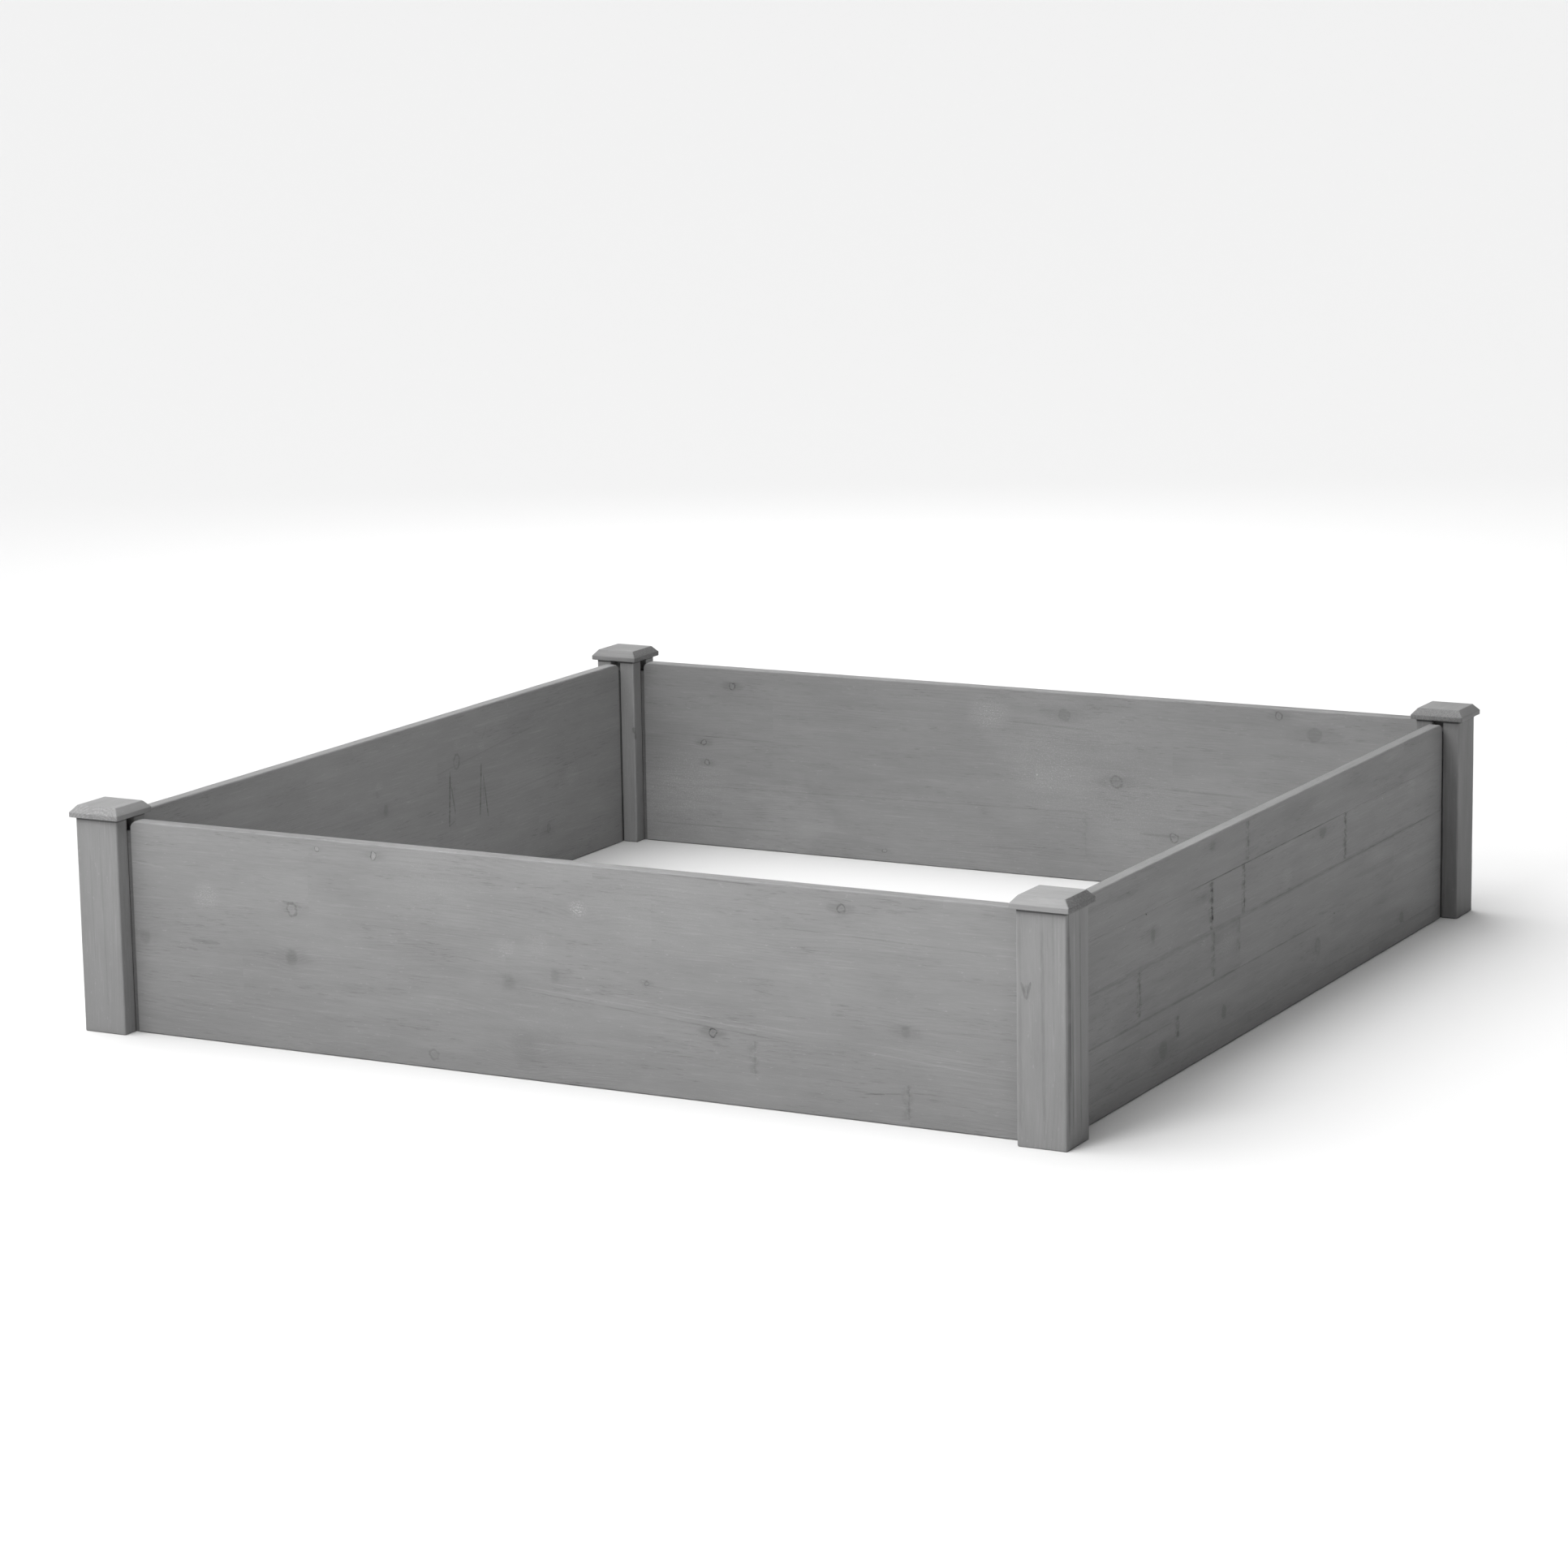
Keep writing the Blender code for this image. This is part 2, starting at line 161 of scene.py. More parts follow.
# Thin marks that follow the grain: from (along, height) to (along, height), width, tone
STROKES = {
    "front": (
        ((-0.049, 0.103), (0.16, 0.091), 0.001, 0.13), ((-0.049, 0.099), (0.28, 0.075), 0.001, -0.16),
        ((0.11, 0.092), (0.292, 0.081), 0.001, 0.14), ((-0.01, 0.11), (0.18, 0.096), 0.0009, 0.12),
        ((0.09, 0.098), (0.3, 0.086), 0.0009, 0.14), ((0.36, 0.075), (0.54, 0.062), 0.0011, 0.14),
        ((0.37, 0.083), (0.54, 0.071), 0.0009, 0.12), ((0.366, 0.029), (0.411, 0.034), 0.001, -0.28),
        ((0.13, 0.24), (0.25, 0.238), 0.0009, -0.22), ((0.26, 0.196), (0.52, 0.19), 0.0008, -0.14),
        ((-0.545, 0.196), (-0.5, 0.192), 0.0012, 0.2), ((-0.47, 0.114), (-0.43, 0.112), 0.003, -0.16),
        ((-0.345, 0.168), (-0.319, 0.163), 0.0022, -0.14),
    ),
    "right": (
        ((-0.239, 0.1925), (0.219, 0.193), 0.0009, -0.5), ((-0.54, 0.136), (0.54, 0.136), 0.004, -0.16),
        ((-0.09, 0.136), (0.54, 0.136), 0.0008, -0.2), ((-0.54, 0.079), (-0.1, 0.079), 0.0022, -0.22),
        ((-0.1, 0.079), (0.11, 0.079), 0.0014, -0.2), ((-0.5, 0.061), (-0.29, 0.06), 0.0014, -0.2),
        ((-0.54, 0.15), (-0.4, 0.152), 0.004, 0.06), ((-0.54, 0.225), (-0.38, 0.222), 0.005, -0.12),
        ((0.18, 0.145), (0.24, 0.16), 0.0018, 0.12), ((0.25, 0.11), (0.52, 0.104), 0.005, -0.08),
    ),
    "back": (
        ((-0.535, 0.079), (0.103, 0.089), 0.0011, -0.12), ((-0.535, 0.026), (-0.33, 0.028), 0.0012, -0.2),
        ((-0.53, 0.149), (-0.33, 0.147), 0.0012, -0.12), ((-0.01, 0.2), (0.11, 0.196), 0.0016, -0.16),
        ((0.21, 0.128), (0.33, 0.125), 0.0022, -0.12), ((0.26, 0.066), (0.175, 0.068), 0.0022, -0.14),
        # painted light: a wide light band low on the back board's left end, against the shade in the
        # back-left corner
        ((-0.62, 0.045), (-0.28, 0.045), 0.085, 0.11),
    ),
    "left": (
        ((0.193, 0.168), (0.187, 0.1), 0.002, -0.42), ((0.197, 0.153), (0.207, 0.096), 0.0019, -0.34),
        ((0.196, 0.148), (0.198, 0.115), 0.0014, -0.24), ((0.195, 0.158), (0.2, 0.11), 0.0014, 0.1),
        ((0.119, 0.171), (0.114, 0.101), 0.002, -0.42), ((0.121, 0.151), (0.129, 0.115), 0.0018, -0.3),
        ((0.113, 0.102), (0.127, 0.106), 0.0012, -0.2), ((0.196, 0.199), (0.207, 0.214), 0.0016, -0.12),
        ((0.07, 0.17), (0.33, 0.196), 0.0013, -0.1), ((0.24, 0.118), (0.43, 0.128), 0.0013, -0.1),
    ),
}

# Hazy light patches, where the stain has taken less: along, height, radius, strength
PATCHES = {
    "front": (
        (-0.446, 0.164, 0.017, 0.13), (0.031, 0.193, 0.01, 0.3), (-0.02, 0.15, 0.016, 0.07),
        (-0.06, 0.142, 0.012, 0.08), (-0.15, 0.205, 0.06, 0.035), (0.12, 0.205, 0.09, 0.03),
        (-0.02, 0.06, 0.055, 0.03),
    ),
    "right": (
        (0.038, 0.152, 0.014, 0.12), (-0.14, 0.112, 0.024, 0.12), (-0.14, 0.165, 0.018, 0.05),
        (-0.204, 0.128, 0.008, 0.08), (0.439, 0.183, 0.014, 0.1), (0.15, 0.155, 0.05, 0.06),
        (0.43, 0.05, 0.03, 0.06),
    ),
    "back": (
        (0.09, 0.15, 0.11, 0.075), (0.18, 0.09, 0.07, 0.055), (-0.5, 0.06, 0.075, 0.1),
        (-0.036, 0.208, 0.026, 0.16), (0.045, 0.14, 0.055, 0.06), (-0.47, 0.098, 0.05, 0.05),
        (0.07, 0.04, 0.075, -0.07),
    ),
    "left": (
        (0.414, 0.116, 0.018, 0.1), (-0.044, 0.181, 0.008, 0.12), (0.195, 0.191, 0.009, 0.1),
        (0.137, 0.204, 0.009, 0.08), (0.12, 0.118, 0.014, 0.06),
    ),
}

# Dark, slightly open finger joints: along, lower end, upper end, strength
OPEN_JOINTS = {
    "front": ((0.419, 0.006, 0.044, 0.36), (0.241, 0.034, 0.072, 0.28)),
    "right": (
        (-0.181, 0.138, 0.191, 1.0), (-0.089, 0.138, 0.193, 0.75), (-0.078, 0.195, 0.24, 0.5),
        (0.219, 0.138, 0.193, 0.75), (-0.376, 0.085, 0.134, 0.6), (-0.274, 0.04, 0.064, 0.6),
        (-0.175, 0.084, 0.134, 0.5), (-0.103, 0.098, 0.133, 0.35),
    ),
    "back": ((0.1, 0.034, 0.089, 0.12),),
    "left": ((-0.12, 0.04, 0.093, 0.15),),
}

# The posts' knots, on their front and back faces: height first, then X from the post's middle
POST_KNOTS = {
    "front_left": (),
    "front_right": ((0.164, -0.0163, 0.004, 0.9, -0.14, 0.0, 0.05),),
    "back_right": (),
    "back_left": ((0.166, -0.0035, 0.0024, 0.8, -0.14, 0.0, 0.05),),
}
# The posts' strokes: each end is a height, then X and Y from the post's middle
POST_STROKES = {
    "front_left": (
        ((0.235, 0.004, -0.0275), (0.03, 0.006, -0.0275), 0.0016, -0.08),
        ((0.21, -0.01, -0.0275), (0.08, -0.009, -0.0275), 0.0014, -0.07),
    ),
    "front_right": (
        ((0.17, -0.0219, -0.0275), (0.153, -0.0162, -0.0275), 0.0022, -0.34),
        ((0.171, -0.0115, -0.0275), (0.153, -0.0158, -0.0275), 0.0018, -0.34),
        ((0.243, 0.001, -0.0275), (0.01, 0.003, -0.0275), 0.0026, -0.14),
        ((0.243, -0.0232, -0.0275), (0.02, -0.0228, -0.0275), 0.0022, -0.09),
        ((0.243, 0.0135, -0.0275), (0.12, 0.0138, -0.0275), 0.0016, -0.08),
        ((0.243, 0.0275, -0.0215), (0.01, 0.0275, -0.0205), 0.004, -0.3),
        ((0.2, 0.0275, -0.018), (0.06, 0.0275, -0.017), 0.0026, -0.36),
        ((0.243, 0.0275, -0.008), (0.01, 0.0275, -0.006), 0.0022, 0.16),
        ((0.243, 0.0275, 0.006), (0.01, 0.0275, 0.008), 0.002, -0.24),
        ((0.15, 0.0275, -0.012), (0.02, 0.0275, -0.011), 0.0016, -0.3),
    ),
    "back_right": (((0.235, 0.01, -0.0275), (0.04, 0.012, -0.0275), 0.0014, -0.1),),
    "back_left": (
        ((0.156, 0.0262, -0.0275), (0.149, 0.0268, -0.0272), 0.0034, -0.42),
        ((0.15, 0.0275, -0.0262), (0.14, 0.0275, -0.025), 0.003, -0.34),
    ),
}
# Which part of its tree each cap is cut from: the pith's place across it, its depth and the ring width
CAP_BLOCKS = {
    "front_left": (0.46, 0.1, 0.35),
    "front_right": (0.66, 0.3, 0.15),
    "back_right": (0.2, 0.05, 0.05),
    "back_left": (0.3, 0.2, 0.1),
}

# How light each piece's colour is: mostly the wood's own tone, with painted light on the left board, whose
# inner face stands in shade, and painted shadow on the back-right post, which the right board shades
BOARD_TONE_AND_LIGHT = {"front": 1.0, "right": 0.975, "back": 0.98, "left": 1.12}
POST_TONE_AND_SHADE = {"front_left": 0.97, "front_right": 0.99, "back_right": 0.80, "back_left": 1.08}
CAP_TONE = {"front_left": 1.0, "front_right": 1.0, "back_right": 0.87, "back_left": 0.80}
# How much lighter or darker the end grain of each cap is than its faces: the end grain's own tone, with
# painted shade on the ends that face away from the light, most on the front-right cap
CAP_END_TONE_AND_SHADE = {"front_left": -0.06, "front_right": -0.42, "back_right": -0.25, "back_left": -0.15}
# Painted shade: how much darker each board is painted at the ground than at the top
FOOT_PAINTED_SHADE = {"front": 0.18, "right": 0.06, "back": 0.0, "left": 0.0}
# The same painted shade for the posts
POST_FOOT_PAINTED_SHADE = {"front_left": 0.12, "front_right": 0.10, "back_right": 0.12, "back_left": 0.0}
TONGUE_PAINTED_SHADE = 0.45  # painted shade: how much darker the tongues are painted, in the shade of their grooves
PAINTED_SHADOW_UNDER_CAP = 0.0022  # height of the painted shadow at each post's head, under the cap's overhang
# How much the blocks of each board differ in tone
BLOCK_VARIETY = {"front": 0.015, "right": 0.055, "back": 0.02, "left": 0.03}
BOARD_EDGE_PAINTED_SHADE = 0.20  # painted shade on the boards' top and bottom edges and in their glue-line creases
STAIN = 0.235  # the stain's own grey
FINE_GRAIN = 0.35  # strength of the posts' and caps' dark dashes, against the boards'

# How unevenly the arrises are eased: how strongly, and over what length
BOARD_WEAR = (0.22, 0.012)
POST_WEAR = (0.25, 0.014)
CAP_WEAR = (0.0003, 0.010)
# How far a stave's faces may stand off from its neighbours'
FACE_STEP = {"front": 0.00003, "right": 0.00012, "back": 0.00004, "left": 0.00004}
STEP_FADE = 0.03  # length over which that fades out at a shoulder
TONGUE_EASING = 0.0003
BORE_SIDES = 32

rng = np.random.default_rng(572)


# ---------- outlines


def arc(cx, cy, radius, start, turn, steps):
    angles = [start + turn * i / steps for i in range(steps + 1)]
    return [(cx + radius * math.cos(a), cy + radius * math.sin(a)) for a in angles]


def rounded_corner(cx, cy, radius, start, steps):
    """A quarter-round corner with a support point on each side: ((x, y), wear) in order."""
    points = arc(cx, cy, radius, start, math.pi / 2, steps)
    before = (points[0][0] + SUPPORT * math.sin(start), points[0][1] - SUPPORT * math.cos(start))
    after = (points[-1][0] - SUPPORT * math.cos(start), points[-1][1] - SUPPORT * math.sin(start))
    return [(before, 0.0)] + [(p, 1.0) for p in points] + [(after, 0.0)]


def stave_outline(half, low, high, low_radius, high_radius):
    """A stave's cross-section in (depth, height)."""
    corners = (
        (1, low + low_radius, low_radius, -math.pi / 2),
        (1, high - high_radius, high_radius, 0.0),
        (-1, high - high_radius, high_radius, math.pi / 2),
        (-1, low + low_radius, low_radius, math.pi),
    )
    outline = []
    for side, z, radius, start in corners:
        outline += rounded_corner(side * (half - radius), z, radius, start, ARC_STEPS)
    return outline


def groove_half_width(depth, root, tip):
    return root / 2 + (tip - root) / 2 / TONGUE_LENGTH * (SHOULDER_GAP + depth) + FLANK_CLEARANCE


def concave_corner(cx, cy, radius, start):
    """One eased edge of a groove's mouth."""
    return [(p, 1.0) for p in arc(cx, cy, radius, start, math.pi / 2, ARC_STEPS)]


def post_outline(half, thickness, inset, arris):
    """The post in plan, from the corner before its +X face round: ((x, y), wear) in order."""
    root, tip = thickness - 2 * NECK_INSET, thickness - 2 * TIP_INSET
    face = half - inset
    depth = TONGUE_LENGTH - SHOULDER_GAP + TIP_CLEARANCE
    mouth = groove_half_width(inset + MOUTH_ARRIS, root, tip)
    floor_half = groove_half_width(depth, root, tip)
    lower = concave_corner(face - MOUTH_ARRIS, -mouth - MOUTH_ARRIS, MOUTH_ARRIS, 0.0)
    upper = concave_corner(face - MOUTH_ARRIS, mouth + MOUTH_ARRIS, MOUTH_ARRIS, -math.pi / 2)
    floor = [((half - depth, -floor_half), 0.0), ((half - depth, floor_half), 0.0)]
    corner = rounded_corner(face - arris, -face + arris, arris, -math.pi / 2, ARC_STEPS)
    shoulder_low = [((face, -mouth - MOUTH_ARRIS - SUPPORT), 0.0)]
    shoulder_high = [((face, mouth + MOUTH_ARRIS + SUPPORT), 0.0)]
    right = corner + shoulder_low + lower + floor + upper + shoulder_high
    top = [((-y, x), wear) for (x, y), wear in right]
    outline = right + top
    for sx, sy, start in ((-1, 1, math.pi / 2), (-1, -1, math.pi)):
        outline += rounded_corner(sx * (face - arris), sy * (face - arris), arris, start, ARC_STEPS)
    return outline


def square_outline(half, radius):
    outline = []
    for sx, sy, start in ((1, -1, -math.pi / 2), (1, 1, 0.0), (-1, 1, math.pi / 2), (-1, -1, math.pi)):
        outline += rounded_corner(sx * (half - radius), sy * (half - radius), radius, start, CAP_ARC_STEPS)
    return outline


# ---------- meshes


def wobble(strength, scale):
    """A smooth random function of a length, about zero, for edges that a hand sander has eased."""
    waves = []
    for _ in range(5):
        waves.append((rng.uniform(0.6, 1.6) * scale, rng.uniform(0, 2 * math.pi), rng.uniform(0.4, 1.0)))
    total = sum(w[2] for w in waves)
    return lambda s: strength * sum(w * math.sin(s / length + phase) for length, phase, w in waves) / total


class Skin:
    """A closed mesh grown ring by ring, which remembers how worn each point is."""

    def __init__(self):
        self.bm = bmesh.new()
        self.wear = self.bm.verts.layers.float.new("edge")
        self.ring = None
        self.first = None

    def points(self, places, wears):
        ring = []
        for place, wear in zip(places, wears):
            vert = self.bm.verts.new(place)
            vert[self.wear] = wear
            ring.append(vert)
        return ring

    def add_ring(self, places, wears):
        ring = self.points(places, wears)
        if self.ring:
            for i in range(len(ring)):
                j = (i + 1) % len(ring)
                self.bm.faces.new((self.ring[i], self.ring[j], ring[j], ring[i]))
        else:
            self.first = ring
        self.ring = ring

    def close(self):
        for ring in (self.first, self.ring):
            self.bm.faces.new(ring)

    def mesh(self, name):
        bmesh.ops.recalc_face_normals(self.bm, faces=self.bm.faces)
        mesh = bpy.data.meshes.new(name)
        self.bm.to_mesh(mesh)
        self.bm.free()
        mesh.shade_smooth()
        mesh.set_sharp_from_angle(angle=SMOOTH_ANGLE)
        return mesh


def eased(distance, radius):
    """How far an eased end has drawn in, distance metres before its tip."""
    if distance >= radius:
        return 0.0
    return radius - math.sqrt(max(radius**2 - (radius - distance) ** 2, 0.0))


def stations(half, joints):
    """Places along a stave where its cross-section is drawn, from one shoulder to the other."""
    ends = set()
    for radius in (CORNER_RADIUS, SHOULDER_ARRIS):
        for i in range(ARC_STEPS + 1):
            ends.add(round(half - radius * (1 - math.sin(math.pi / 2 * i / ARC_STEPS)), 7))
    count = int((2 * half - 2 * CORNER_RADIUS) / STATION_PITCH)
    middle = [-half + CORNER_RADIUS + (2 * half - 2 * CORNER_RADIUS) * i / count for i in range(1, count)]
    clear = [x for x in middle if all(abs(x - j) > STATION_PITCH / 3 for j in joints)]
    return sorted(set(clear) | set(joints) | ends | {-x for x in ends})


def stave_mesh(side, number, low, high):
    """One stave in the row's frame, from the CAD stave's own box."""
    along, across, out = SIDES[side]
    half = (high[along] - low[along]) / 2 - TONGUE_LENGTH
    thickness = high[across] - low[across]
    middle = (high[across] + low[across]) / 2
    is_bottom, is_top = number == STAVES[0], number == STAVES[-1]
    bottom = low[2] if is_bottom else low[2] - CAD_GLUE_HALF + GLUE_GAP
    top = high[2] if is_top else high[2] + CAD_GLUE_HALF - GLUE_GAP
    joints = JOINTS[side][number - 1]
    worn = [wobble(*BOARD_WEAR), wobble(*BOARD_WEAR)]
    face_step = rng.uniform(-1, 1) * FACE_STEP[side]

    def place(s, outline):
        placed = []
        for d, z in outline:
            point = [0.0, 0.0, z]
            point[along] = s
            point[across] = middle + out * d
            placed.append(tuple(point))
        return placed

    def body(s):
        reach = half - abs(s)
        drop = eased(reach, CORNER_RADIUS) if is_top else 0.0
        draw = eased(reach, SHOULDER_ARRIS)
        low_radius = BOARD_ARRIS * (1 + worn[0](s)) if is_bottom else GLUE_V[side][number - 2]
        high_radius = BOARD_ARRIS * (1 + worn[1](s)) if is_top else GLUE_V[side][number - 1]
        step = face_step * min(1.0, reach / STEP_FADE)
        outline = stave_outline(thickness / 2 - draw, bottom, top - drop, low_radius, high_radius)
        return [((d - (step if d > 0 else -step), z), w) for (d, z), w in outline]

    def tongue(width):
        outline = stave_outline(width / 2, bottom, min(top, TONGUE_TOP), TONGUE_EASING, TONGUE_EASING)
        return [((d, z), 0.0) for (d, z), _ in outline]

    skin = Skin()

    def ring(s, outline):
        skin.add_ring(place(s, [p for p, _ in outline]), [w for _, w in outline])

    root, tip = thickness - 2 * NECK_INSET, thickness - 2 * TIP_INSET
    end = half + TONGUE_LENGTH
    ring(-end, tongue(tip - 2 * TONGUE_EASING))
    ring(-end + TONGUE_EASING, tongue(tip))
    ring(-half, tongue(root))
    for s in stations(half, joints):
        ring(s, body(s))
    ring(half, tongue(root))
    ring(end - TONGUE_EASING, tongue(tip))
    ring(end, tongue(tip - 2 * TONGUE_EASING))
    skin.close()
    return skin.mesh(f"{side}_stave_{number}")


def post_mesh(name, low, high, turn):
    """A grooved post, with an eased foot and a blind bore for the cap's dowel in its head."""
    half = (high[0] - low[0]) / 2
    height = high[2] - low[2]
    worn = wobble(*POST_WEAR)
    levels = [(POST_FOOT_ARRIS * (1 - math.cos(a)), POST_FOOT_ARRIS * (1 - math.sin(a)))
              for a in (math.pi / 2 * i / ARC_STEPS for i in range(ARC_STEPS + 1))]
    count = int(height / POST_PITCH)
    levels += [(POST_FOOT_ARRIS + (height - POST_FOOT_ARRIS) * i / count, 0.0) for i in range(1, count + 1)]
    skin = Skin()
    for z, inset in levels:
        outline = post_outline(half, BOARD_THICKNESS, inset, POST_ARRIS * (1 + worn(z)))
        skin.add_ring([(x, y, z) for (x, y), _ in outline], [w for _, w in outline])
    head = skin.ring
    angles = [2 * math.pi * i / BORE_SIDES for i in range(BORE_SIDES)]
    skin.bm.faces.new(skin.first)
    circle = [(BORE_RADIUS * math.cos(a), BORE_RADIUS * math.sin(a)) for a in angles]
    rim = skin.points([(x, y, height) for x, y in circle], [0.0] * len(circle))
    floor = skin.points([(x, y, height - POST_BORE_DEPTH) for x, y in circle], [0.0] * len(circle))
    for i in range(len(circle)):
        j = (i + 1) % len(circle)
        skin.bm.faces.new((rim[i], rim[j], floor[j], floor[i]))
    skin.bm.faces.new(floor)
    edges = []
    for loop in (head, rim):
        for i in range(len(loop)):
            pair = (loop[i], loop[(i + 1) % len(loop)])
            edges.append(skin.bm.edges.get(pair) or skin.bm.edges.new(pair))
    bmesh.ops.triangle_fill(skin.bm, use_beauty=True, edges=edges)
    centre = Vector(((high[0] + low[0]) / 2, (high[1] + low[1]) / 2, low[2]))
    mesh = skin.mesh(name)
    mesh.transform(Matrix.Translation(centre) @ Matrix.Rotation(turn * math.pi / 2, 4, "Z"))
    return mesh


def cap_profile(half, height):
    """(half width, height) from the cap's underside up: a lip, a bevel and a flat top, all eased."""
    slope = CAP_BEVEL_INSET / (height - CAP_LIP)
    tilt = math.atan2(CAP_BEVEL_INSET, height - CAP_LIP)
    profile = [(half - CAP_ARRIS - SUPPORT, 0.0)]
    for i in range(CAP_ARC_STEPS + 1):
        z = CAP_ARRIS * (1 - math.cos(math.pi / 2 * i / CAP_ARC_STEPS))
        profile.append((half - eased(z, CAP_ARRIS), z))
    radius = 2 * CAP_ARRIS
    reach = radius * math.tan(tilt / 2)
    profile.append((half, CAP_LIP - reach - SUPPORT))
    for i in range(CAP_ARC_STEPS + 1):
        a = tilt * i / CAP_ARC_STEPS
        profile.append((half - radius * (1 - math.cos(a)), CAP_LIP - reach + radius * math.sin(a)))
    turn = math.pi / 2 - tilt
    reach = radius * math.tan(turn / 2)
    top_half = half - CAP_BEVEL_INSET
    start = (top_half + reach * math.sin(tilt), height - reach * math.cos(tilt))
    profile.append((start[0] + SUPPORT * slope, start[1] - SUPPORT))
    for i in range(CAP_ARC_STEPS + 1):
        a = tilt + turn * i / CAP_ARC_STEPS
        profile.append((
            start[0] - radius * (math.cos(tilt) - math.cos(a)),
            start[1] + radius * (math.sin(a) - math.sin(tilt)),
        ))
    profile.append((top_half - reach - SUPPORT, height))
    return profile


def cap_mesh(name, low, high, turn):
    half = (high[0] - low[0]) / 2
    height = high[2] - low[2]
    worn = wobble(*CAP_WEAR)
    flat = square_outline(half, CAP_CORNER)
    angles = [math.atan2(y, x) for (x, y), _ in flat]
    circle = [(BORE_RADIUS * math.cos(a), BORE_RADIUS * math.sin(a)) for a in angles]
    none = [0.0] * len(circle)
    skin = Skin()
    skin.add_ring([(x, y, CAP_BORE_DEPTH) for x, y in circle], none)
    skin.add_ring([(x, y, 0.0) for x, y in circle], none)
    bends = (CAP_ARC_STEPS + 2, 2 * CAP_ARC_STEPS + 4)
    for k, (reach, z) in enumerate(cap_profile(half, height)):
        outline = square_outline(reach, CAP_CORNER)
        wears = [1.0 if (w or k in bends) else 0.0 for _, w in outline]
        dip = [worn(x * 7 + y * 3 + z * 40) * min(1.0, z / CAP_LIP) for (x, y), _ in outline]
        lowers = reach < half - 0.002
        skin.add_ring([(x, y, z - abs(d) * lowers) for ((x, y), _), d in zip(outline, dip)], wears)
    skin.close()
    centre = Vector(((high[0] + low[0]) / 2, (high[1] + low[1]) / 2, low[2]))
    mesh = skin.mesh(name)
    mesh.transform(Matrix.Translation(centre) @ Matrix.Rotation(turn * math.pi / 2, 4, "Z"))
    return mesh


# ---------- grain coordinates


def corner_values(mesh, name, kind, values):
    attribute = mesh.attributes.new(name, kind, "CORNER")
    key = "vector" if kind == "FLOAT_VECTOR" else "value"
    attribute.data.foreach_set(key, np.ascontiguousarray(values, np.float32).ravel())


def set_grain(mesh, along, across, depth, origin, blocks, cuts=(), shoulder=math.inf):
    """Stores where each face corner is in its own piece of wood.

    grain is (along the grain, across it, through it), block is the random start of the block's
    pattern, end says how much of the face is end grain, rim how much it looks across the
    grain, as a board's narrow edges do, and sunk whether it is on a tongue, past the shoulder.
    Cuts are the finger joints.
    """
    count = len(mesh.loops)
    index = np.zeros(count, np.int32)
    mesh.loops.foreach_get("vertex_index", index)
    points = np.zeros(len(mesh.vertices) * 3, np.float32)
    mesh.vertices.foreach_get("co", points)
    points = points.reshape(-1, 3) - np.array(origin, np.float32)
    basis = np.array([along, across, depth], np.float32)
    grain = points @ basis.T
    normals = np.array([p.normal for p in mesh.polygons], np.float32)
    totals = np.array([p.loop_total for p in mesh.polygons])
    centres = np.array([p.center for p in mesh.polygons], np.float32) - np.array(origin, np.float32)
    facing = np.abs(normals @ basis[0])
    place = np.searchsorted(np.sort(np.array(cuts, np.float32)), centres @ basis[0])
    narrow = np.abs(normals @ basis[1])
    corner_values(mesh, "grain", "FLOAT_VECTOR", grain[index])
    corner_values(mesh, "block", "FLOAT_VECTOR", np.repeat(np.asarray(blocks)[place], totals, axis=0))
    for name, values in (
        ("end", np.clip((facing - 0.3) / 0.45, 0, 1)),
        ("rim", np.clip((narrow - 0.5) / 0.4, 0, 1)),
        ("sunk", np.abs(centres @ basis[0]) > shoulder),
    ):
        corner_values(mesh, name, "FLOAT", np.repeat(values, totals))


def axis_vector(axis, sign=1.0):
    vector = [0.0, 0.0, 0.0]
    vector[axis] = sign
    return vector


# ---------- node helpers


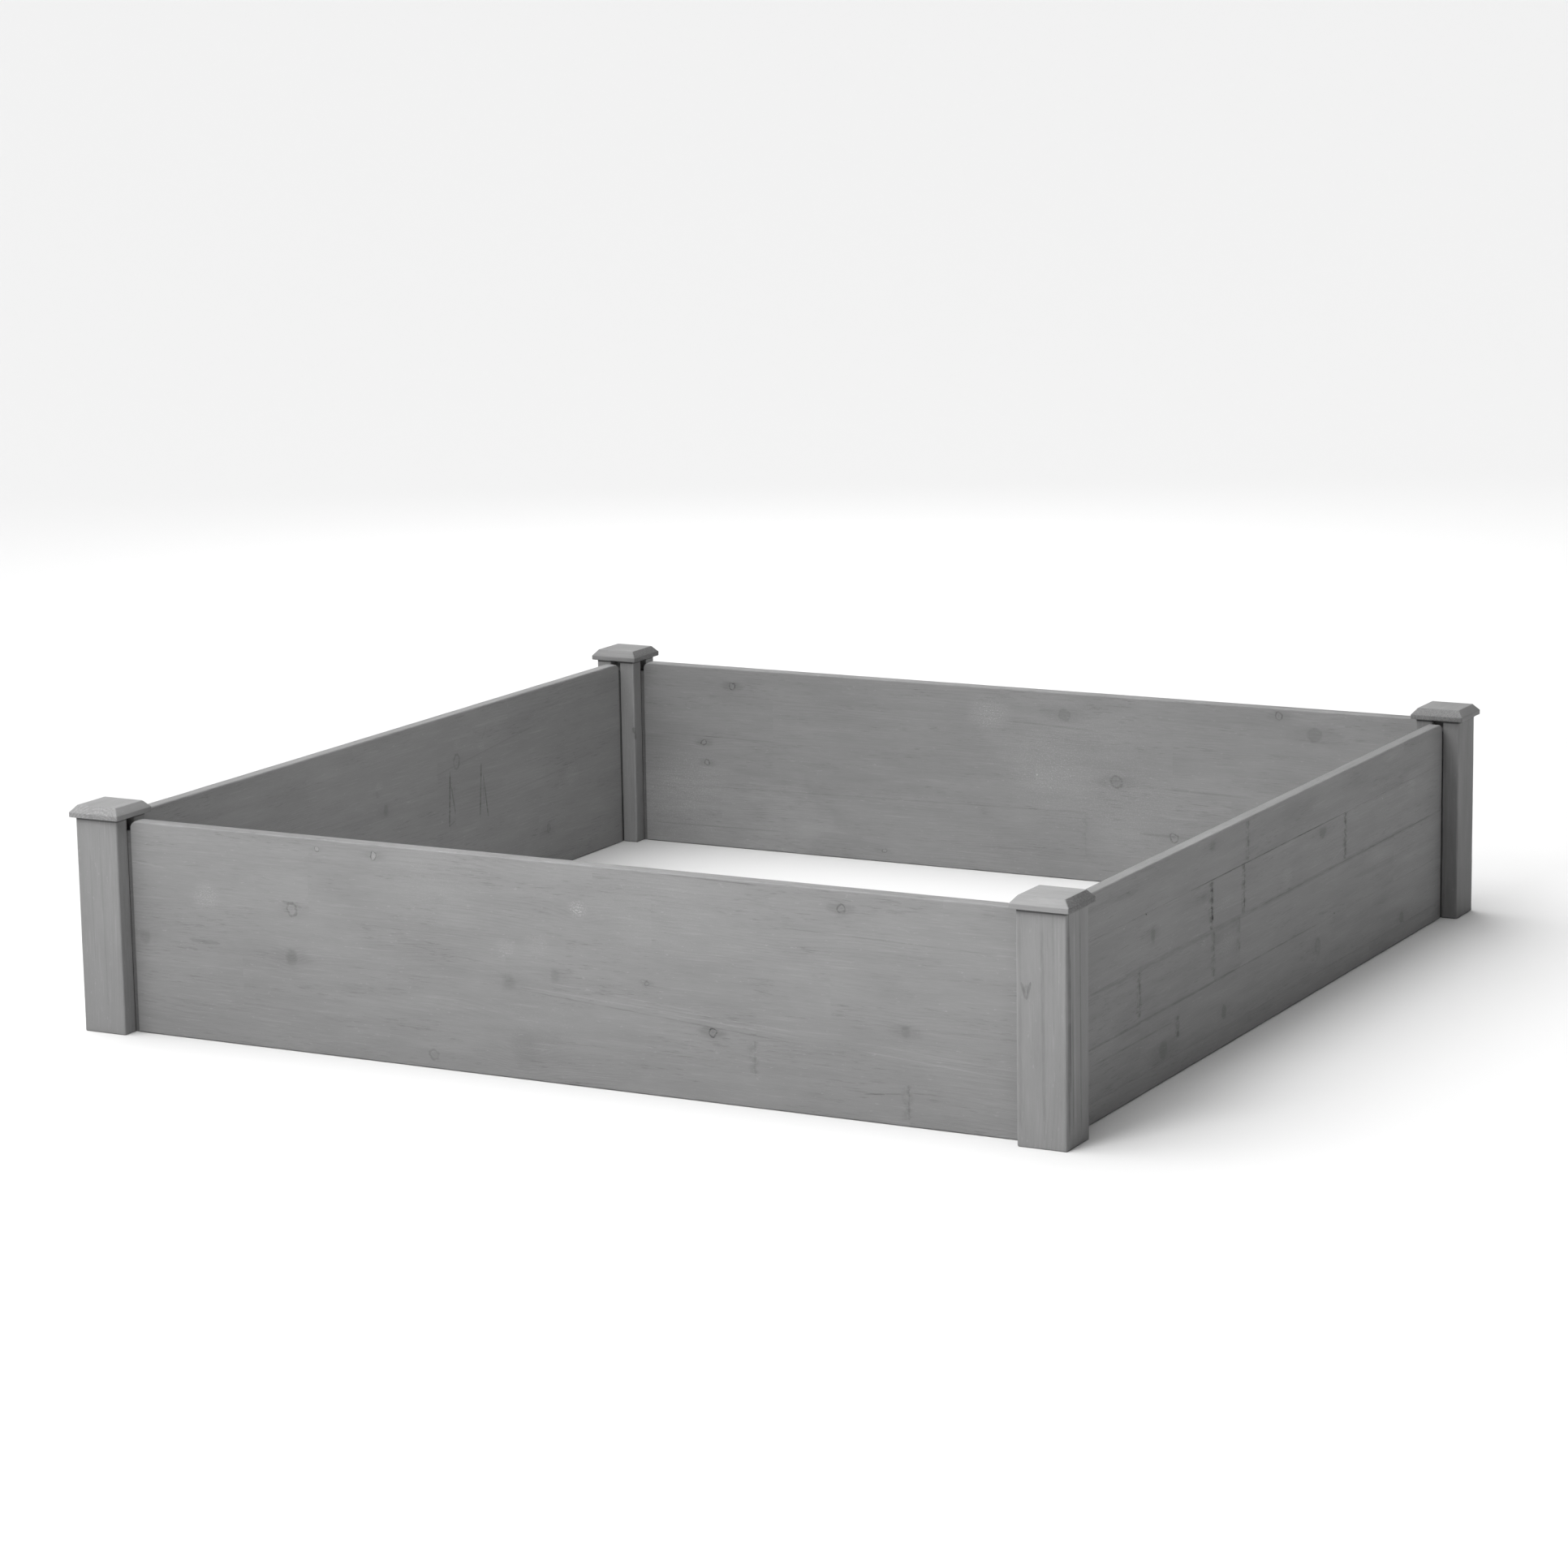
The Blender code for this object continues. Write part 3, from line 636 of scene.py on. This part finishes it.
class Graph:
    """Short calls for the nodes that the materials are made of."""

    def __init__(self, tree):
        self.tree = tree

    def node(self, kind, *values, **settings):
        """A node with its settings, and its inputs fed in order with values or other nodes' outputs."""
        made = self.tree.nodes.new(kind)
        for key, value in settings.items():
            setattr(made, key, value)
        for socket, value in zip(made.inputs, values):
            self.feed(socket, value)
        return made

    def feed(self, socket, value):
        if isinstance(value, bpy.types.NodeSocket):
            self.tree.links.new(value, socket)
        else:
            socket.default_value = value

    def math(self, operation, *values, clamp=False):
        return self.node("ShaderNodeMath", *values, operation=operation, use_clamp=clamp).outputs[0]

    def add(self, *values):
        total = values[0]
        for value in values[1:]:
            total = self.math("ADD", total, value)
        return total

    def times(self, *values):
        total = values[0]
        for value in values[1:]:
            total = self.math("MULTIPLY", total, value)
        return total

    def minus(self, a, b):
        return self.math("SUBTRACT", a, b)

    def length(self, a, b):
        return self.math("SQRT", self.add(self.times(a, a), self.times(b, b)))

    def vector(self, operation, *values):
        made = self.node("ShaderNodeVectorMath", *values, operation=operation)
        return made.outputs["Value" if operation in ("DOT_PRODUCT", "DISTANCE") else "Vector"]

    def split(self, vector):
        return self.node("ShaderNodeSeparateXYZ", vector).outputs

    def join(self, x, y, z):
        return self.node("ShaderNodeCombineXYZ", x, y, z).outputs[0]

    def between(self, value, low, high, start=0.0, stop=1.0):
        """value rising smoothly from start, at low, to stop, at high."""
        values = value, low, high, start, stop
        return self.node("ShaderNodeMapRange", *values, interpolation_type="SMOOTHSTEP").outputs[0]

    def noise(self, vector, frequencies, detail=2.0, roughness=0.5, output=0):
        """Smooth noise about 0.5, with its own frequency along each axis."""
        made = self.node("ShaderNodeTexNoise", noise_dimensions="3D")
        self.feed(made.inputs["Vector"], self.vector("MULTIPLY", vector, frequencies))
        made.inputs["Scale"].default_value = 1.0
        made.inputs["Detail"].default_value = detail
        made.inputs["Roughness"].default_value = roughness
        return made.outputs[output]

    def attribute(self, name, output):
        return self.node("ShaderNodeAttribute", attribute_name=name).outputs[output]

    def group(self, tree, **values):
        made = self.node("ShaderNodeGroup")
        made.node_tree = tree
        for key, value in values.items():
            self.feed(made.inputs[key], value)
        return made.outputs


def new_group(name, vectors, values, outputs):
    """A node group with its inputs and outputs, given as their names with spaces between."""
    tree = bpy.data.node_groups.new(name, "ShaderNodeTree")
    kinds = ((vectors, "INPUT", "Vector"), (values, "INPUT", "Float"), (outputs, "OUTPUT", "Float"))
    for labels, side, kind in kinds:
        for label in labels.split():
            tree.interface.new_socket(label, in_out=side, socket_type=f"NodeSocket{kind}")
    graph = Graph(tree)
    source = graph.node("NodeGroupInput").outputs
    target = graph.node("NodeGroupOutput").inputs
    return graph, source, target


def new_material(name):
    """A material, with the graph of its nodes and its shader."""
    material = bpy.data.materials.new(name)
    material.use_nodes = True
    return material, Graph(material.node_tree), material.node_tree.nodes["Principled BSDF"]


def add_bump(g, shader, height, strength, distance):
    bump = g.node("ShaderNodeBump")
    bump.inputs["Strength"].default_value = strength
    bump.inputs["Distance"].default_value = distance
    g.feed(bump.inputs["Height"], height)
    g.feed(shader.inputs["Normal"], bump.outputs[0])


# ---------- wood


# What a row of each kind of mark holds, by the names of its group's inputs
MARK_VALUES = {
    "knot": "Centre Radius Stretch Core Outline Halo",
    "stroke": "Start Stop Width Strength",
    "patch": "Centre Radius Strength",
    "open_joint": "Along Low High Strength",
}


def knot_group():
    """One knot: its tone, how it pushes the growth rings aside, and its relief.

    Without an outline it is a soft dark blob. With one, it has a crisp edge and a darker heart.
    """
    g, source, target = new_group(
        "knot", "Place Centre", "Radius Stretch Core Outline Halo", "Tone Push Relief"
    )
    offset = g.split(g.vector("SUBTRACT", source["Place"], source["Centre"]))
    u = g.math("DIVIDE", offset[0], source["Radius"])
    v = g.math("DIVIDE", offset[1], g.times(source["Radius"], source["Stretch"]))
    distance = g.length(u, v)
    soft = g.between(source["Outline"], 0.0, 0.25, 0.5, 0.08)
    inside = g.between(distance, g.minus(1.0, soft), g.add(1.0, soft), 1.0, 0.0)
    gaps = g.between(g.noise(source["Place"], (260.0, 260.0, 0.0)), 0.35, 0.6)
    outline = g.times(
        g.between(distance, 0.62, 0.92),
        g.between(distance, 1.0, 1.3, 1.0, 0.0),
        g.add(0.35, g.times(gaps, 0.75)),
    )
    heart = g.times(g.between(distance, 0.12, 0.3, 1.0, 0.0), g.between(source["Core"], 0.05, 0.15, 1.0, 0.0))
    rings = g.times(g.math("SINE", g.times(distance, 11.0)), inside, source["Outline"], 0.12)
    long_u = g.times(u, 0.36)
    spread = g.length(long_u, v)
    halo = g.between(spread, 0.7, 1.9, 1.0, 0.0)
    darkness = g.add(g.times(outline, source["Outline"]), g.times(halo, source["Halo"], 0.55))
    darkness = g.add(darkness, g.times(heart, source["Outline"], 0.45))
    tone = g.minus(g.add(g.times(inside, source["Core"]), rings), darkness)
    g.feed(target["Tone"], tone)
    falloff = g.math("EXPONENT", g.times(distance, -0.45))
    g.feed(target["Push"], g.times(falloff, source["Radius"], 1.3))
    g.feed(target["Relief"], g.times(g.minus(g.times(inside, 0.25), outline), source["Outline"]))
    return g.tree


def stroke_group():
    """A thin, broken mark from one point to another, dark or light, with tapering ends."""
    g, source, target = new_group("stroke", "Place Start Stop", "Width Strength", "Tone")
    run = g.vector("SUBTRACT", source["Stop"], source["Start"])
    offset = g.vector("SUBTRACT", source["Place"], source["Start"])
    reached = g.vector("DOT_PRODUCT", offset, run)
    part = g.math("DIVIDE", reached, g.vector("DOT_PRODUCT", run, run), clamp=True)
    nearest = g.vector("MULTIPLY", run, g.join(part, part, part))
    gap = g.vector("DISTANCE", offset, nearest)
    taper = g.times(g.between(part, 0.0, 0.12), g.between(part, 0.88, 1.0, 1.0, 0.0))
    reach = g.times(source["Width"], g.add(0.3, g.times(taper, 0.7)))
    patchy = g.noise(source["Place"], (28.0, 160.0, 0.0), detail=3.0, roughness=0.6)
    line = g.between(gap, g.times(reach, 0.35), reach, 1.0, 0.0)
    g.feed(target["Tone"], g.times(line, g.between(patchy, 0.3, 0.62, 0.35, 1.15), source["Strength"]))
    return g.tree


def patch_group():
    """A hazy light patch with light specks, where the stain has taken less, or a plain dark one."""
    g, source, target = new_group("patch", "Place Centre", "Radius Strength", "Tone")
    offset = g.split(g.vector("SUBTRACT", source["Place"], source["Centre"]))
    u = g.times(g.math("DIVIDE", offset[0], source["Radius"]), 0.8)
    v = g.math("DIVIDE", offset[1], source["Radius"])
    haze = g.between(g.length(u, v), 0.2, 1.2, 1.0, 0.0)
    grit = g.noise(source["Place"], (520.0, 700.0, 0.0), roughness=0.7)
    specks = g.between(grit, 0.50, 0.66, 0.0, 2.4)
    bright = g.math("MAXIMUM", source["Strength"], 0.0)
    g.feed(target["Tone"], g.times(haze, g.add(g.times(source["Strength"], 0.45), g.times(bright, specks))))
    return g.tree


def open_joint_group():
    """A finger joint that the stain has soaked into: a thin dark line with a smudge beside it."""
    g, source, target = new_group("open_joint", "Place", "Along Low High Strength", "Tone Relief")
    place = g.split(source["Place"])
    waver = g.noise(source["Place"], (40.0, 120.0, 0.0))
    patchy = g.noise(source["Place"], (300.0, 90.0, 0.0))
    sideways = g.add(g.minus(place[0], source["Along"]), g.times(g.minus(waver, 0.5), 0.003))
    span = g.times(
        g.between(place[1], g.minus(source["Low"], 0.001), g.add(source["Low"], 0.002)),
        g.between(place[1], g.minus(source["High"], 0.002), g.add(source["High"], 0.001), 1.0, 0.0),
    )
    gap = g.math("ABSOLUTE", sideways)
    reach = g.between(patchy, 0.35, 0.70, 0.0007, 0.0024)
    line = g.between(gap, g.times(reach, 0.4), reach, 1.0, 0.0)
    line = g.times(line, g.between(patchy, 0.3, 0.6, 0.55, 1.0))
    blots = g.noise(source["Place"], (110.0, 150.0, 0.0), detail=3.0, roughness=0.65)
    smudge = g.times(
        g.between(sideways, -0.012, -0.001),
        g.between(sideways, 0.0, 0.007, 1.0, 0.0),
        g.between(blots, 0.42, 0.58),
    )
    dark = g.add(g.times(line, 0.36), g.times(smudge, 0.50))
    g.feed(target["Tone"], g.times(dark, span, source["Strength"], -1.0))
    g.feed(target["Relief"], g.times(line, span, source["Strength"], -1.0))
    return g.tree


def softwood_group():
    """Stained softwood: growth rings, fibres, streaks, specks and the stain's own cloudiness.

    Tone multiplies the stain's colour, Relief is the surface's height from 0 to about 1.
    """
    g, source, target = new_group("softwood", "Grain Block", "End Edge Push Coarse", "Tone Relief Gloss")
    grain, block = source["Grain"], g.split(source["Block"])
    start = g.vector("MULTIPLY", source["Block"], (7.0, 5.0, 3.0))
    place = g.vector("ADD", grain, start)
    along, across, depth = g.split(grain)[:3]

    sway = g.minus(g.noise(place, (3.0, 9.0, 9.0)), 0.5)
    ripple = g.minus(g.noise(place, (14.0, 60.0, 60.0)), 0.5)
    pith_across = g.add(g.times(g.minus(block[0], 0.5), 0.16), g.times(sway, 0.030))
    tilt = g.times(g.minus(block[2], 0.5), along, 0.10)
    pith_depth = g.add(g.times(block[1], 0.05), 0.012, tilt)
    ring_x = g.add(across, pith_across, g.times(ripple, 0.003))
    ring_y = g.add(depth, pith_depth, g.times(ripple, 0.002))
    radius = g.length(ring_x, ring_y)
    seasons = g.noise(g.join(radius, block[0], 0.0), (130.0, 50.0, 0.0), detail=1.0)
    radius = g.add(radius, g.times(g.minus(seasons, 0.5), 0.006))
    spacing = g.add(0.0024, g.times(block[2], 0.0022))
    phase = g.math("FRACT", g.math("DIVIDE", g.add(radius, source["Push"]), spacing))
    late = g.times(g.between(phase, 0.35, 0.85), g.between(phase, 0.90, 1.0, 1.0, 0.0))
    show = g.between(g.noise(place, (5.0, 22.0, 22.0)), 0.38, 0.68, 0.15, 1.0)
    rings = g.times(g.minus(0.35, late), show)

    cloud = g.minus(g.noise(grain, (7.0, 11.0, 11.0), detail=4.0, roughness=0.55), 0.5)
    mottle = g.minus(g.noise(place, (9.0, 70.0, 70.0), detail=3.0, roughness=0.55), 0.5)
    cluster = g.noise(place, (9.0, 42.0, 42.0))
    streak = g.noise(place, (48.0, 560.0, 560.0), detail=3.0, roughness=0.65)
    clustered = g.between(cluster, 0.44, 0.64, 0.12, 1.0)
    dashes = g.times(g.between(streak, 0.53, 0.70), clustered, source["Coarse"])
    light = g.noise(place, (16.0, 420.0, 420.0), roughness=0.6)
    light_lines = g.times(g.between(light, 0.58, 0.70), g.between(cluster, 0.42, 0.60, 1.0, 0.1))
    flecks = g.between(g.noise(place, (130.0, 420.0, 420.0), roughness=0.6), 0.66, 0.74)
    fibre = g.minus(g.noise(place, (70.0, 1500.0, 1500.0)), 0.5)
    pores = g.minus(g.noise(place, (300.0, 2600.0, 2600.0), detail=1.0), 0.5)

    cell = g.node("ShaderNodeTexVoronoi", feature="F1")
    g.feed(cell.inputs["Vector"], g.vector("MULTIPLY", place, (55.0, 75.0, 75.0)))
    chance = g.split(cell.outputs["Color"])
    dot = g.between(cell.outputs["Distance"], 0.03, 0.07, 1.0, 0.0)
    bright = g.times(dot, g.math("GREATER_THAN", chance[0], 0.86))
    dark = g.times(dot, g.math("LESS_THAN", chance[0], 0.13))

    face = g.math("SUBTRACT", 1.0, source["End"], clamp=True)
    face_tone = g.add(
        g.times(rings, 0.07),
        g.times(cloud, 0.26),
        g.times(mottle, 0.22),
        g.times(dashes, -0.20),
        g.times(light_lines, 0.10),
        g.times(flecks, 0.18),
        g.times(fibre, 0.16),
        g.times(bright, 0.24),
        g.times(dark, -0.28),
    )
    grit = g.noise(place, (500.0, 500.0, 500.0), detail=3.0, roughness=0.7)
    bright_ring = g.times(g.between(phase, 0.0, 0.10), g.between(phase, 0.16, 0.34, 1.0, 0.0))
    end_rings = g.times(bright_ring, g.between(grit, 0.38, 0.60, 0.15, 1.0))
    end_tone = g.add(
        g.times(end_rings, 0.24),
        g.times(g.minus(grit, 0.5), 0.7),
        g.times(cloud, 0.40),
        g.times(pores, 0.4),
    )
    worn = g.times(source["Edge"], g.between(g.noise(place, (45.0, 90.0, 90.0)), 0.4, 0.7), 0.06)
    tone = g.add(1.0, g.times(face_tone, face), g.times(end_tone, source["End"]), worn)
    g.feed(target["Tone"], tone)

    face_relief = g.add(
        g.times(rings, -0.20),
        g.times(fibre, 0.55),
        g.times(dashes, -0.5),
        g.times(dark, -1.5),
        g.times(streak, 0.25),
    )
    end_relief = g.add(g.times(rings, -0.8), g.times(pores, 0.8))
    g.feed(target["Relief"], g.add(g.times(face_relief, face), g.times(end_relief, source["End"])))
    g.feed(target["Gloss"], g.add(g.times(mottle, -0.25), g.times(late, -0.07), g.times(fibre, 0.2)))
    return g.tree


GROUPS = {
    "knot": knot_group(),
    "stroke": stroke_group(),
    "patch": patch_group(),
    "open_joint": open_joint_group(),
    "softwood": softwood_group(),
}


def add_marks(g, place, fine_place, marks):
    """The tones, ring pushes and reliefs of every knot, stroke, patch and open joint of a piece."""
    sums = {"Tone": 0.0, "Push": 0.0, "Relief": 0.0}
    for kind, rows in marks.items():
        spot = place if kind in ("knot", "patch") else fine_place
        for row in rows:
            if kind in ("knot", "patch"):
                row = ((*row[:2], 0.0), *row[2:])
            elif kind == "stroke":
                row = (*[(*end, 0.0)[:3] for end in row[:2]], *row[2:])
            out = g.group(GROUPS[kind], Place=spot, **dict(zip(MARK_VALUES[kind].split(), row)))
            for label, socket in out.items():
                sums[label] = g.add(sums[label], socket)
    return sums["Tone"], sums["Push"], sums["Relief"]


def stained_wood(
    name, marks, lightness, coarse=1.0, variety=0.0, rim_painted_shade=0.0, foot_painted_shade=0.0,
    end_tone=-0.22, is_post=False,
):
    """Grey semi-transparent stain over softwood.

    Coarse is how strong its dark dashes are, variety how much its blocks differ, the rim shade
    is painted shade on its edges that face up or down and in its glue-line seams, the foot shade
    is painted shade that darkens it towards the ground, and end_tone sets its end grain, with
    painted shade in it on some caps. A post's grain stands upright, and a post's head gets a
    painted shadow under the cap.
    """
    material, g, shader = new_material(name)
    grain = g.attribute("grain", "Vector")
    warp = g.noise(grain, (120.0,) * 3, output="Color")
    nudge = g.vector("MULTIPLY", g.vector("SUBTRACT", warp, (0.5,) * 3), (0.0062,) * 3)
    place = g.vector("ADD", grain, nudge)
    fine_place = g.vector("ADD", grain, g.vector("MULTIPLY", nudge, (0.15,) * 3))
    if not is_post:
        fine_place = g.vector("MULTIPLY", fine_place, (1.0, 1.0, 0.0))
    marked, push, relief = add_marks(g, place, fine_place, marks)
    block = g.attribute("block", "Vector")
    wood = g.group(
        GROUPS["softwood"], Grain=grain, Block=block, End=g.attribute("end", "Fac"),
        Edge=g.attribute("edge", "Fac"), Push=push, Coarse=coarse,
    )
    own_tone = g.times(g.minus(g.split(block)[0], 0.5), variety)
    # painted shade on edges that face up or down and in the glue-line creases, plus the end grain's tone
    rim, end = g.attribute("rim", "Fac"), g.attribute("end", "Fac")
    edges = g.add(g.times(rim, -rim_painted_shade), g.times(end, end_tone))
    tone = g.add(wood["Tone"], marked, own_tone, edges)
    # painted shade on the tongues, in their grooves
    tone = g.times(tone, g.between(g.attribute("sunk", "Fac"), 0.0, 1.0, 1.0, 1.0 - TONGUE_PAINTED_SHADE))
    height = g.split(grain)[0 if is_post else 1]
    # painted shade: the colour darkens towards the ground
    if foot_painted_shade:
        tone = g.times(tone, g.between(height, -0.05, 0.26, 1.0 - foot_painted_shade, 1.0))
    # painted shadow: each post's head is darkened just under the cap
    if is_post:
        line = POST_HEIGHT - PAINTED_SHADOW_UNDER_CAP
        tone = g.times(tone, g.between(height, line - 0.0012, line + 0.0004, 1.0, 0.32))
    value = g.times(g.math("MAXIMUM", tone, 0.05), STAIN * lightness)
    colour = g.node("ShaderNodeCombineColor")
    for socket in colour.inputs:
        g.feed(socket, value)
    g.feed(shader.inputs["Base Color"], colour.outputs[0])
    g.feed(shader.inputs["Roughness"], g.math("ADD", wood["Gloss"], 0.66, clamp=True))
    shader.inputs["Specular IOR Level"].default_value = 0.35
    add_bump(g, shader, g.add(wood["Relief"], g.times(relief, 2.0)), 0.45, 0.0005)
    return material


def bare_wood(name):
    """Plain beech for the hidden dowels, with its grain along the dowel."""
    material, g, shader = new_material(name)
    place = g.node("ShaderNodeTexCoord").outputs["Object"]
    fleck = g.noise(place, (900.0, 900.0, 60.0))
    band = g.noise(place, (260.0, 260.0, 18.0))
    ramp = g.node("ShaderNodeValToRGB")
    stops = ((0.3, (0.40, 0.28, 0.16, 1.0)), (0.7, (0.62, 0.48, 0.31, 1.0)))
    for element, (position, colour) in zip(ramp.color_ramp.elements, stops):
        element.position, element.color = position, colour
    g.feed(ramp.inputs["Fac"], g.add(g.times(fleck, 0.4), g.times(band, 0.6)))
    g.feed(shader.inputs["Base Color"], ramp.outputs["Color"])
    g.feed(shader.inputs["Roughness"], g.between(band, 0.3, 0.7, 0.55, 0.7))
    add_bump(g, shader, fleck, 0.4, 0.0002)
    return material


# ---------- the object

BOARD_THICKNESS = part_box("front_board_stave_1")[1][1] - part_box("front_board_stave_1")[0][1]
BOARD_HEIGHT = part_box(f"front_board_stave_{STAVES[-1]}")[1][2]
POST_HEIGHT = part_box("front_left_post")[1][2]
TONGUE_TOP = BOARD_HEIGHT - TONGUE_DROP
CAD_GLUE_HALF = (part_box("front_board_stave_2")[0][2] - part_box("front_board_stave_1")[1][2]) / 2
BODY_OF = {node: body for body, nodes in frame["record"]["behaviour"]["bodies"].items() for node in nodes}


def finish_piece(node, mesh, material):
    """Puts a finished piece in the place of its CAD node."""
    piece = bpy.data.objects.new(f"{node}_finished", mesh)
    bpy.context.scene.collection.objects.link(piece)
    mesh.materials.append(material)
    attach(piece, BODY_OF[node])
    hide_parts(node)
    return piece


def make_boards():
    for side, (along, across, out) in SIDES.items():
        marks = {
            "knot": KNOTS[side], "stroke": STROKES[side],
            "patch": PATCHES[side], "open_joint": OPEN_JOINTS[side],
        }
        material = stained_wood(
            f"{side}_board_wood", marks, BOARD_TONE_AND_LIGHT[side], variety=BLOCK_VARIETY[side],
            rim_painted_shade=BOARD_EDGE_PAINTED_SHADE, foot_painted_shade=FOOT_PAINTED_SHADE[side],
        )
        for number in STAVES:
            node = f"{side}_board_stave_{number}"
            low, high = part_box(node)
            mesh = stave_mesh(side, number, low, high)
            cuts = JOINTS[side][number - 1]
            blocks = rng.uniform(0, 1, (len(cuts) + 1, 3))
            centre = [0.0, 0.0, 0.0]
            centre[across] = (low[across] + high[across]) / 2
            shoulder = (high[along] - low[along]) / 2 - TONGUE_LENGTH
            axes = axis_vector(along), axis_vector(2), axis_vector(across, out)
            set_grain(mesh, *axes, centre, blocks, cuts, shoulder)
            finish_piece(node, mesh, material)


def make_corners():
    for corner, turn in CORNERS.items():
        node = f"{corner}_post"
        low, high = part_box(node)
        centre = ((low[0] + high[0]) / 2, (low[1] + high[1]) / 2, 0.0)
        mesh = post_mesh(node, low, high, turn)
        set_grain(mesh, axis_vector(2), axis_vector(0), axis_vector(1), centre, rng.uniform(0, 1, (1, 3)))
        marks = {"knot": POST_KNOTS[corner], "stroke": POST_STROKES[corner]}
        wood = stained_wood(
            f"{corner}_post_wood", marks, POST_TONE_AND_SHADE[corner], coarse=FINE_GRAIN,
            foot_painted_shade=POST_FOOT_PAINTED_SHADE[corner], is_post=True,
        )
        finish_piece(node, mesh, wood)

        node = f"{corner}_post_cap"
        low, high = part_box(node)
        mesh = cap_mesh(node, low, high, turn)
        along = 1 - turn % 2
        axes = axis_vector(along), axis_vector(1 - along), axis_vector(2)
        set_grain(mesh, *axes, (*centre[:2], low[2]), [CAP_BLOCKS[corner]])
        # the cap's end tone includes painted shade on ends that face away from the light
        wood = stained_wood(
            f"{corner}_cap_wood", {}, CAP_TONE[corner], coarse=FINE_GRAIN, end_tone=CAP_END_TONE_AND_SHADE[corner]
        )
        finish_piece(node, mesh, wood)


def finish_dowels():
    wood = bare_wood("dowel_wood")
    for corner in CORNERS:
        mesh = frame["nodes"][f"{corner}_cap_dowel"].data
        mesh.materials.clear()
        mesh.materials.append(wood)


# ---------- studio

LENS = 102.86
CAMERA_PLACE = (2.3961, -4.5527, 1.2221)
CAMERA_YAW, CAMERA_PITCH, CAMERA_ROLL = 0.4899, 0.1922, -0.0162

# The world's light, as radiance
SOFTBOX_TOWARDS = (-0.40, -0.15, 0.90)
SOFTBOX_GLOW = 3.4
HORIZON_GLOW = 0.92
STUDIO_DIM = 0.06
FLOOR_TONE = 0.68
FLOOR_RADIUS = 120.0
FLOOR_DROP = 0.0002  # below the feet
# The lamps: where each is, its size and its power. Both aim at the frame's middle.
LAMPS = {"key": ((0.0, -2.3, 2.0), 0.8, 31.0), "rear": ((-1.6, 3.0, 2.0), 1.5, 22.0)}
LAMP_AIM = (0.0, 0.0, 0.1)


def make_camera():
    camera = bpy.data.cameras.new("camera")
    camera.lens = LENS
    camera.sensor_width = 36.0
    camera.clip_start, camera.clip_end = 0.05, 500.0
    forward = Vector((
        -math.sin(CAMERA_YAW) * math.cos(CAMERA_PITCH),
        math.cos(CAMERA_YAW) * math.cos(CAMERA_PITCH),
        -math.sin(CAMERA_PITCH),
    ))
    level = Vector((math.cos(CAMERA_YAW), math.sin(CAMERA_YAW), 0.0))
    above = level.cross(forward)
    across = math.cos(CAMERA_ROLL) * level + math.sin(CAMERA_ROLL) * above
    upward = -math.sin(CAMERA_ROLL) * level + math.cos(CAMERA_ROLL) * above
    obj = bpy.data.objects.new("camera", camera)
    bpy.context.scene.collection.objects.link(obj)
    turn = Matrix((across, upward, -forward)).transposed().to_4x4()
    obj.matrix_world = Matrix.Translation(CAMERA_PLACE) @ turn
    bpy.context.scene.camera = obj


def make_floor():
    """A pale disc, wide enough to reach the horizon in every view."""
    skin = bmesh.new()
    bmesh.ops.create_circle(skin, cap_ends=True, segments=96, radius=FLOOR_RADIUS)
    mesh = bpy.data.meshes.new("floor")
    skin.to_mesh(mesh)
    skin.free()
    floor = bpy.data.objects.new("floor", mesh)
    bpy.context.scene.collection.objects.link(floor)
    floor.location.z = CAD_BOX[0].z - FLOOR_DROP
    material, _, shader = new_material("floor")
    shader.inputs["Base Color"].default_value = (FLOOR_TONE, FLOOR_TONE, FLOOR_TONE, 1.0)
    shader.inputs["Roughness"].default_value = 0.9
    shader.inputs["Specular IOR Level"].default_value = 0.1
    mesh.materials.append(material)


def make_lamp(name, place, size, power):
    light = bpy.data.lights.new(name, "AREA")
    light.shape = "SQUARE"
    light.size = size
    light.energy = power
    obj = bpy.data.objects.new(name, light)
    bpy.context.scene.collection.objects.link(obj)
    obj.location = place
    obj.rotation_euler = (Vector(LAMP_AIM) - Vector(place)).to_track_quat("-Z", "Y").to_euler()


def make_world():
    """A dim studio with a wide soft light overhead, a little to the front left, and a pale horizon."""
    world = bpy.data.worlds.new("studio")
    bpy.context.scene.world = world
    world.use_nodes = True
    g = Graph(world.node_tree)
    direction = g.node("ShaderNodeTexCoord").outputs["Generated"]
    rise = g.split(direction)[2]
    facing = g.vector("DOT_PRODUCT", direction, tuple(Vector(SOFTBOX_TOWARDS).normalized()))
    strength = g.add(
        g.between(rise, 0.10, 0.22, HORIZON_GLOW - STUDIO_DIM, 0.0),
        STUDIO_DIM,
        g.between(facing, 0.68, 0.86, 0.0, SOFTBOX_GLOW),
    )
    background = world.node_tree.nodes["Background"]
    background.inputs["Color"].default_value = (1.0, 1.0, 1.0, 1.0)
    g.feed(background.inputs["Strength"], strength)


def make_studio():
    make_camera()
    make_floor()
    make_world()
    for name, settings in LAMPS.items():
        make_lamp(name, *settings)
    bpy.context.scene.view_settings.view_transform = "Standard"


make_boards()
make_corners()
finish_dowels()
make_studio()
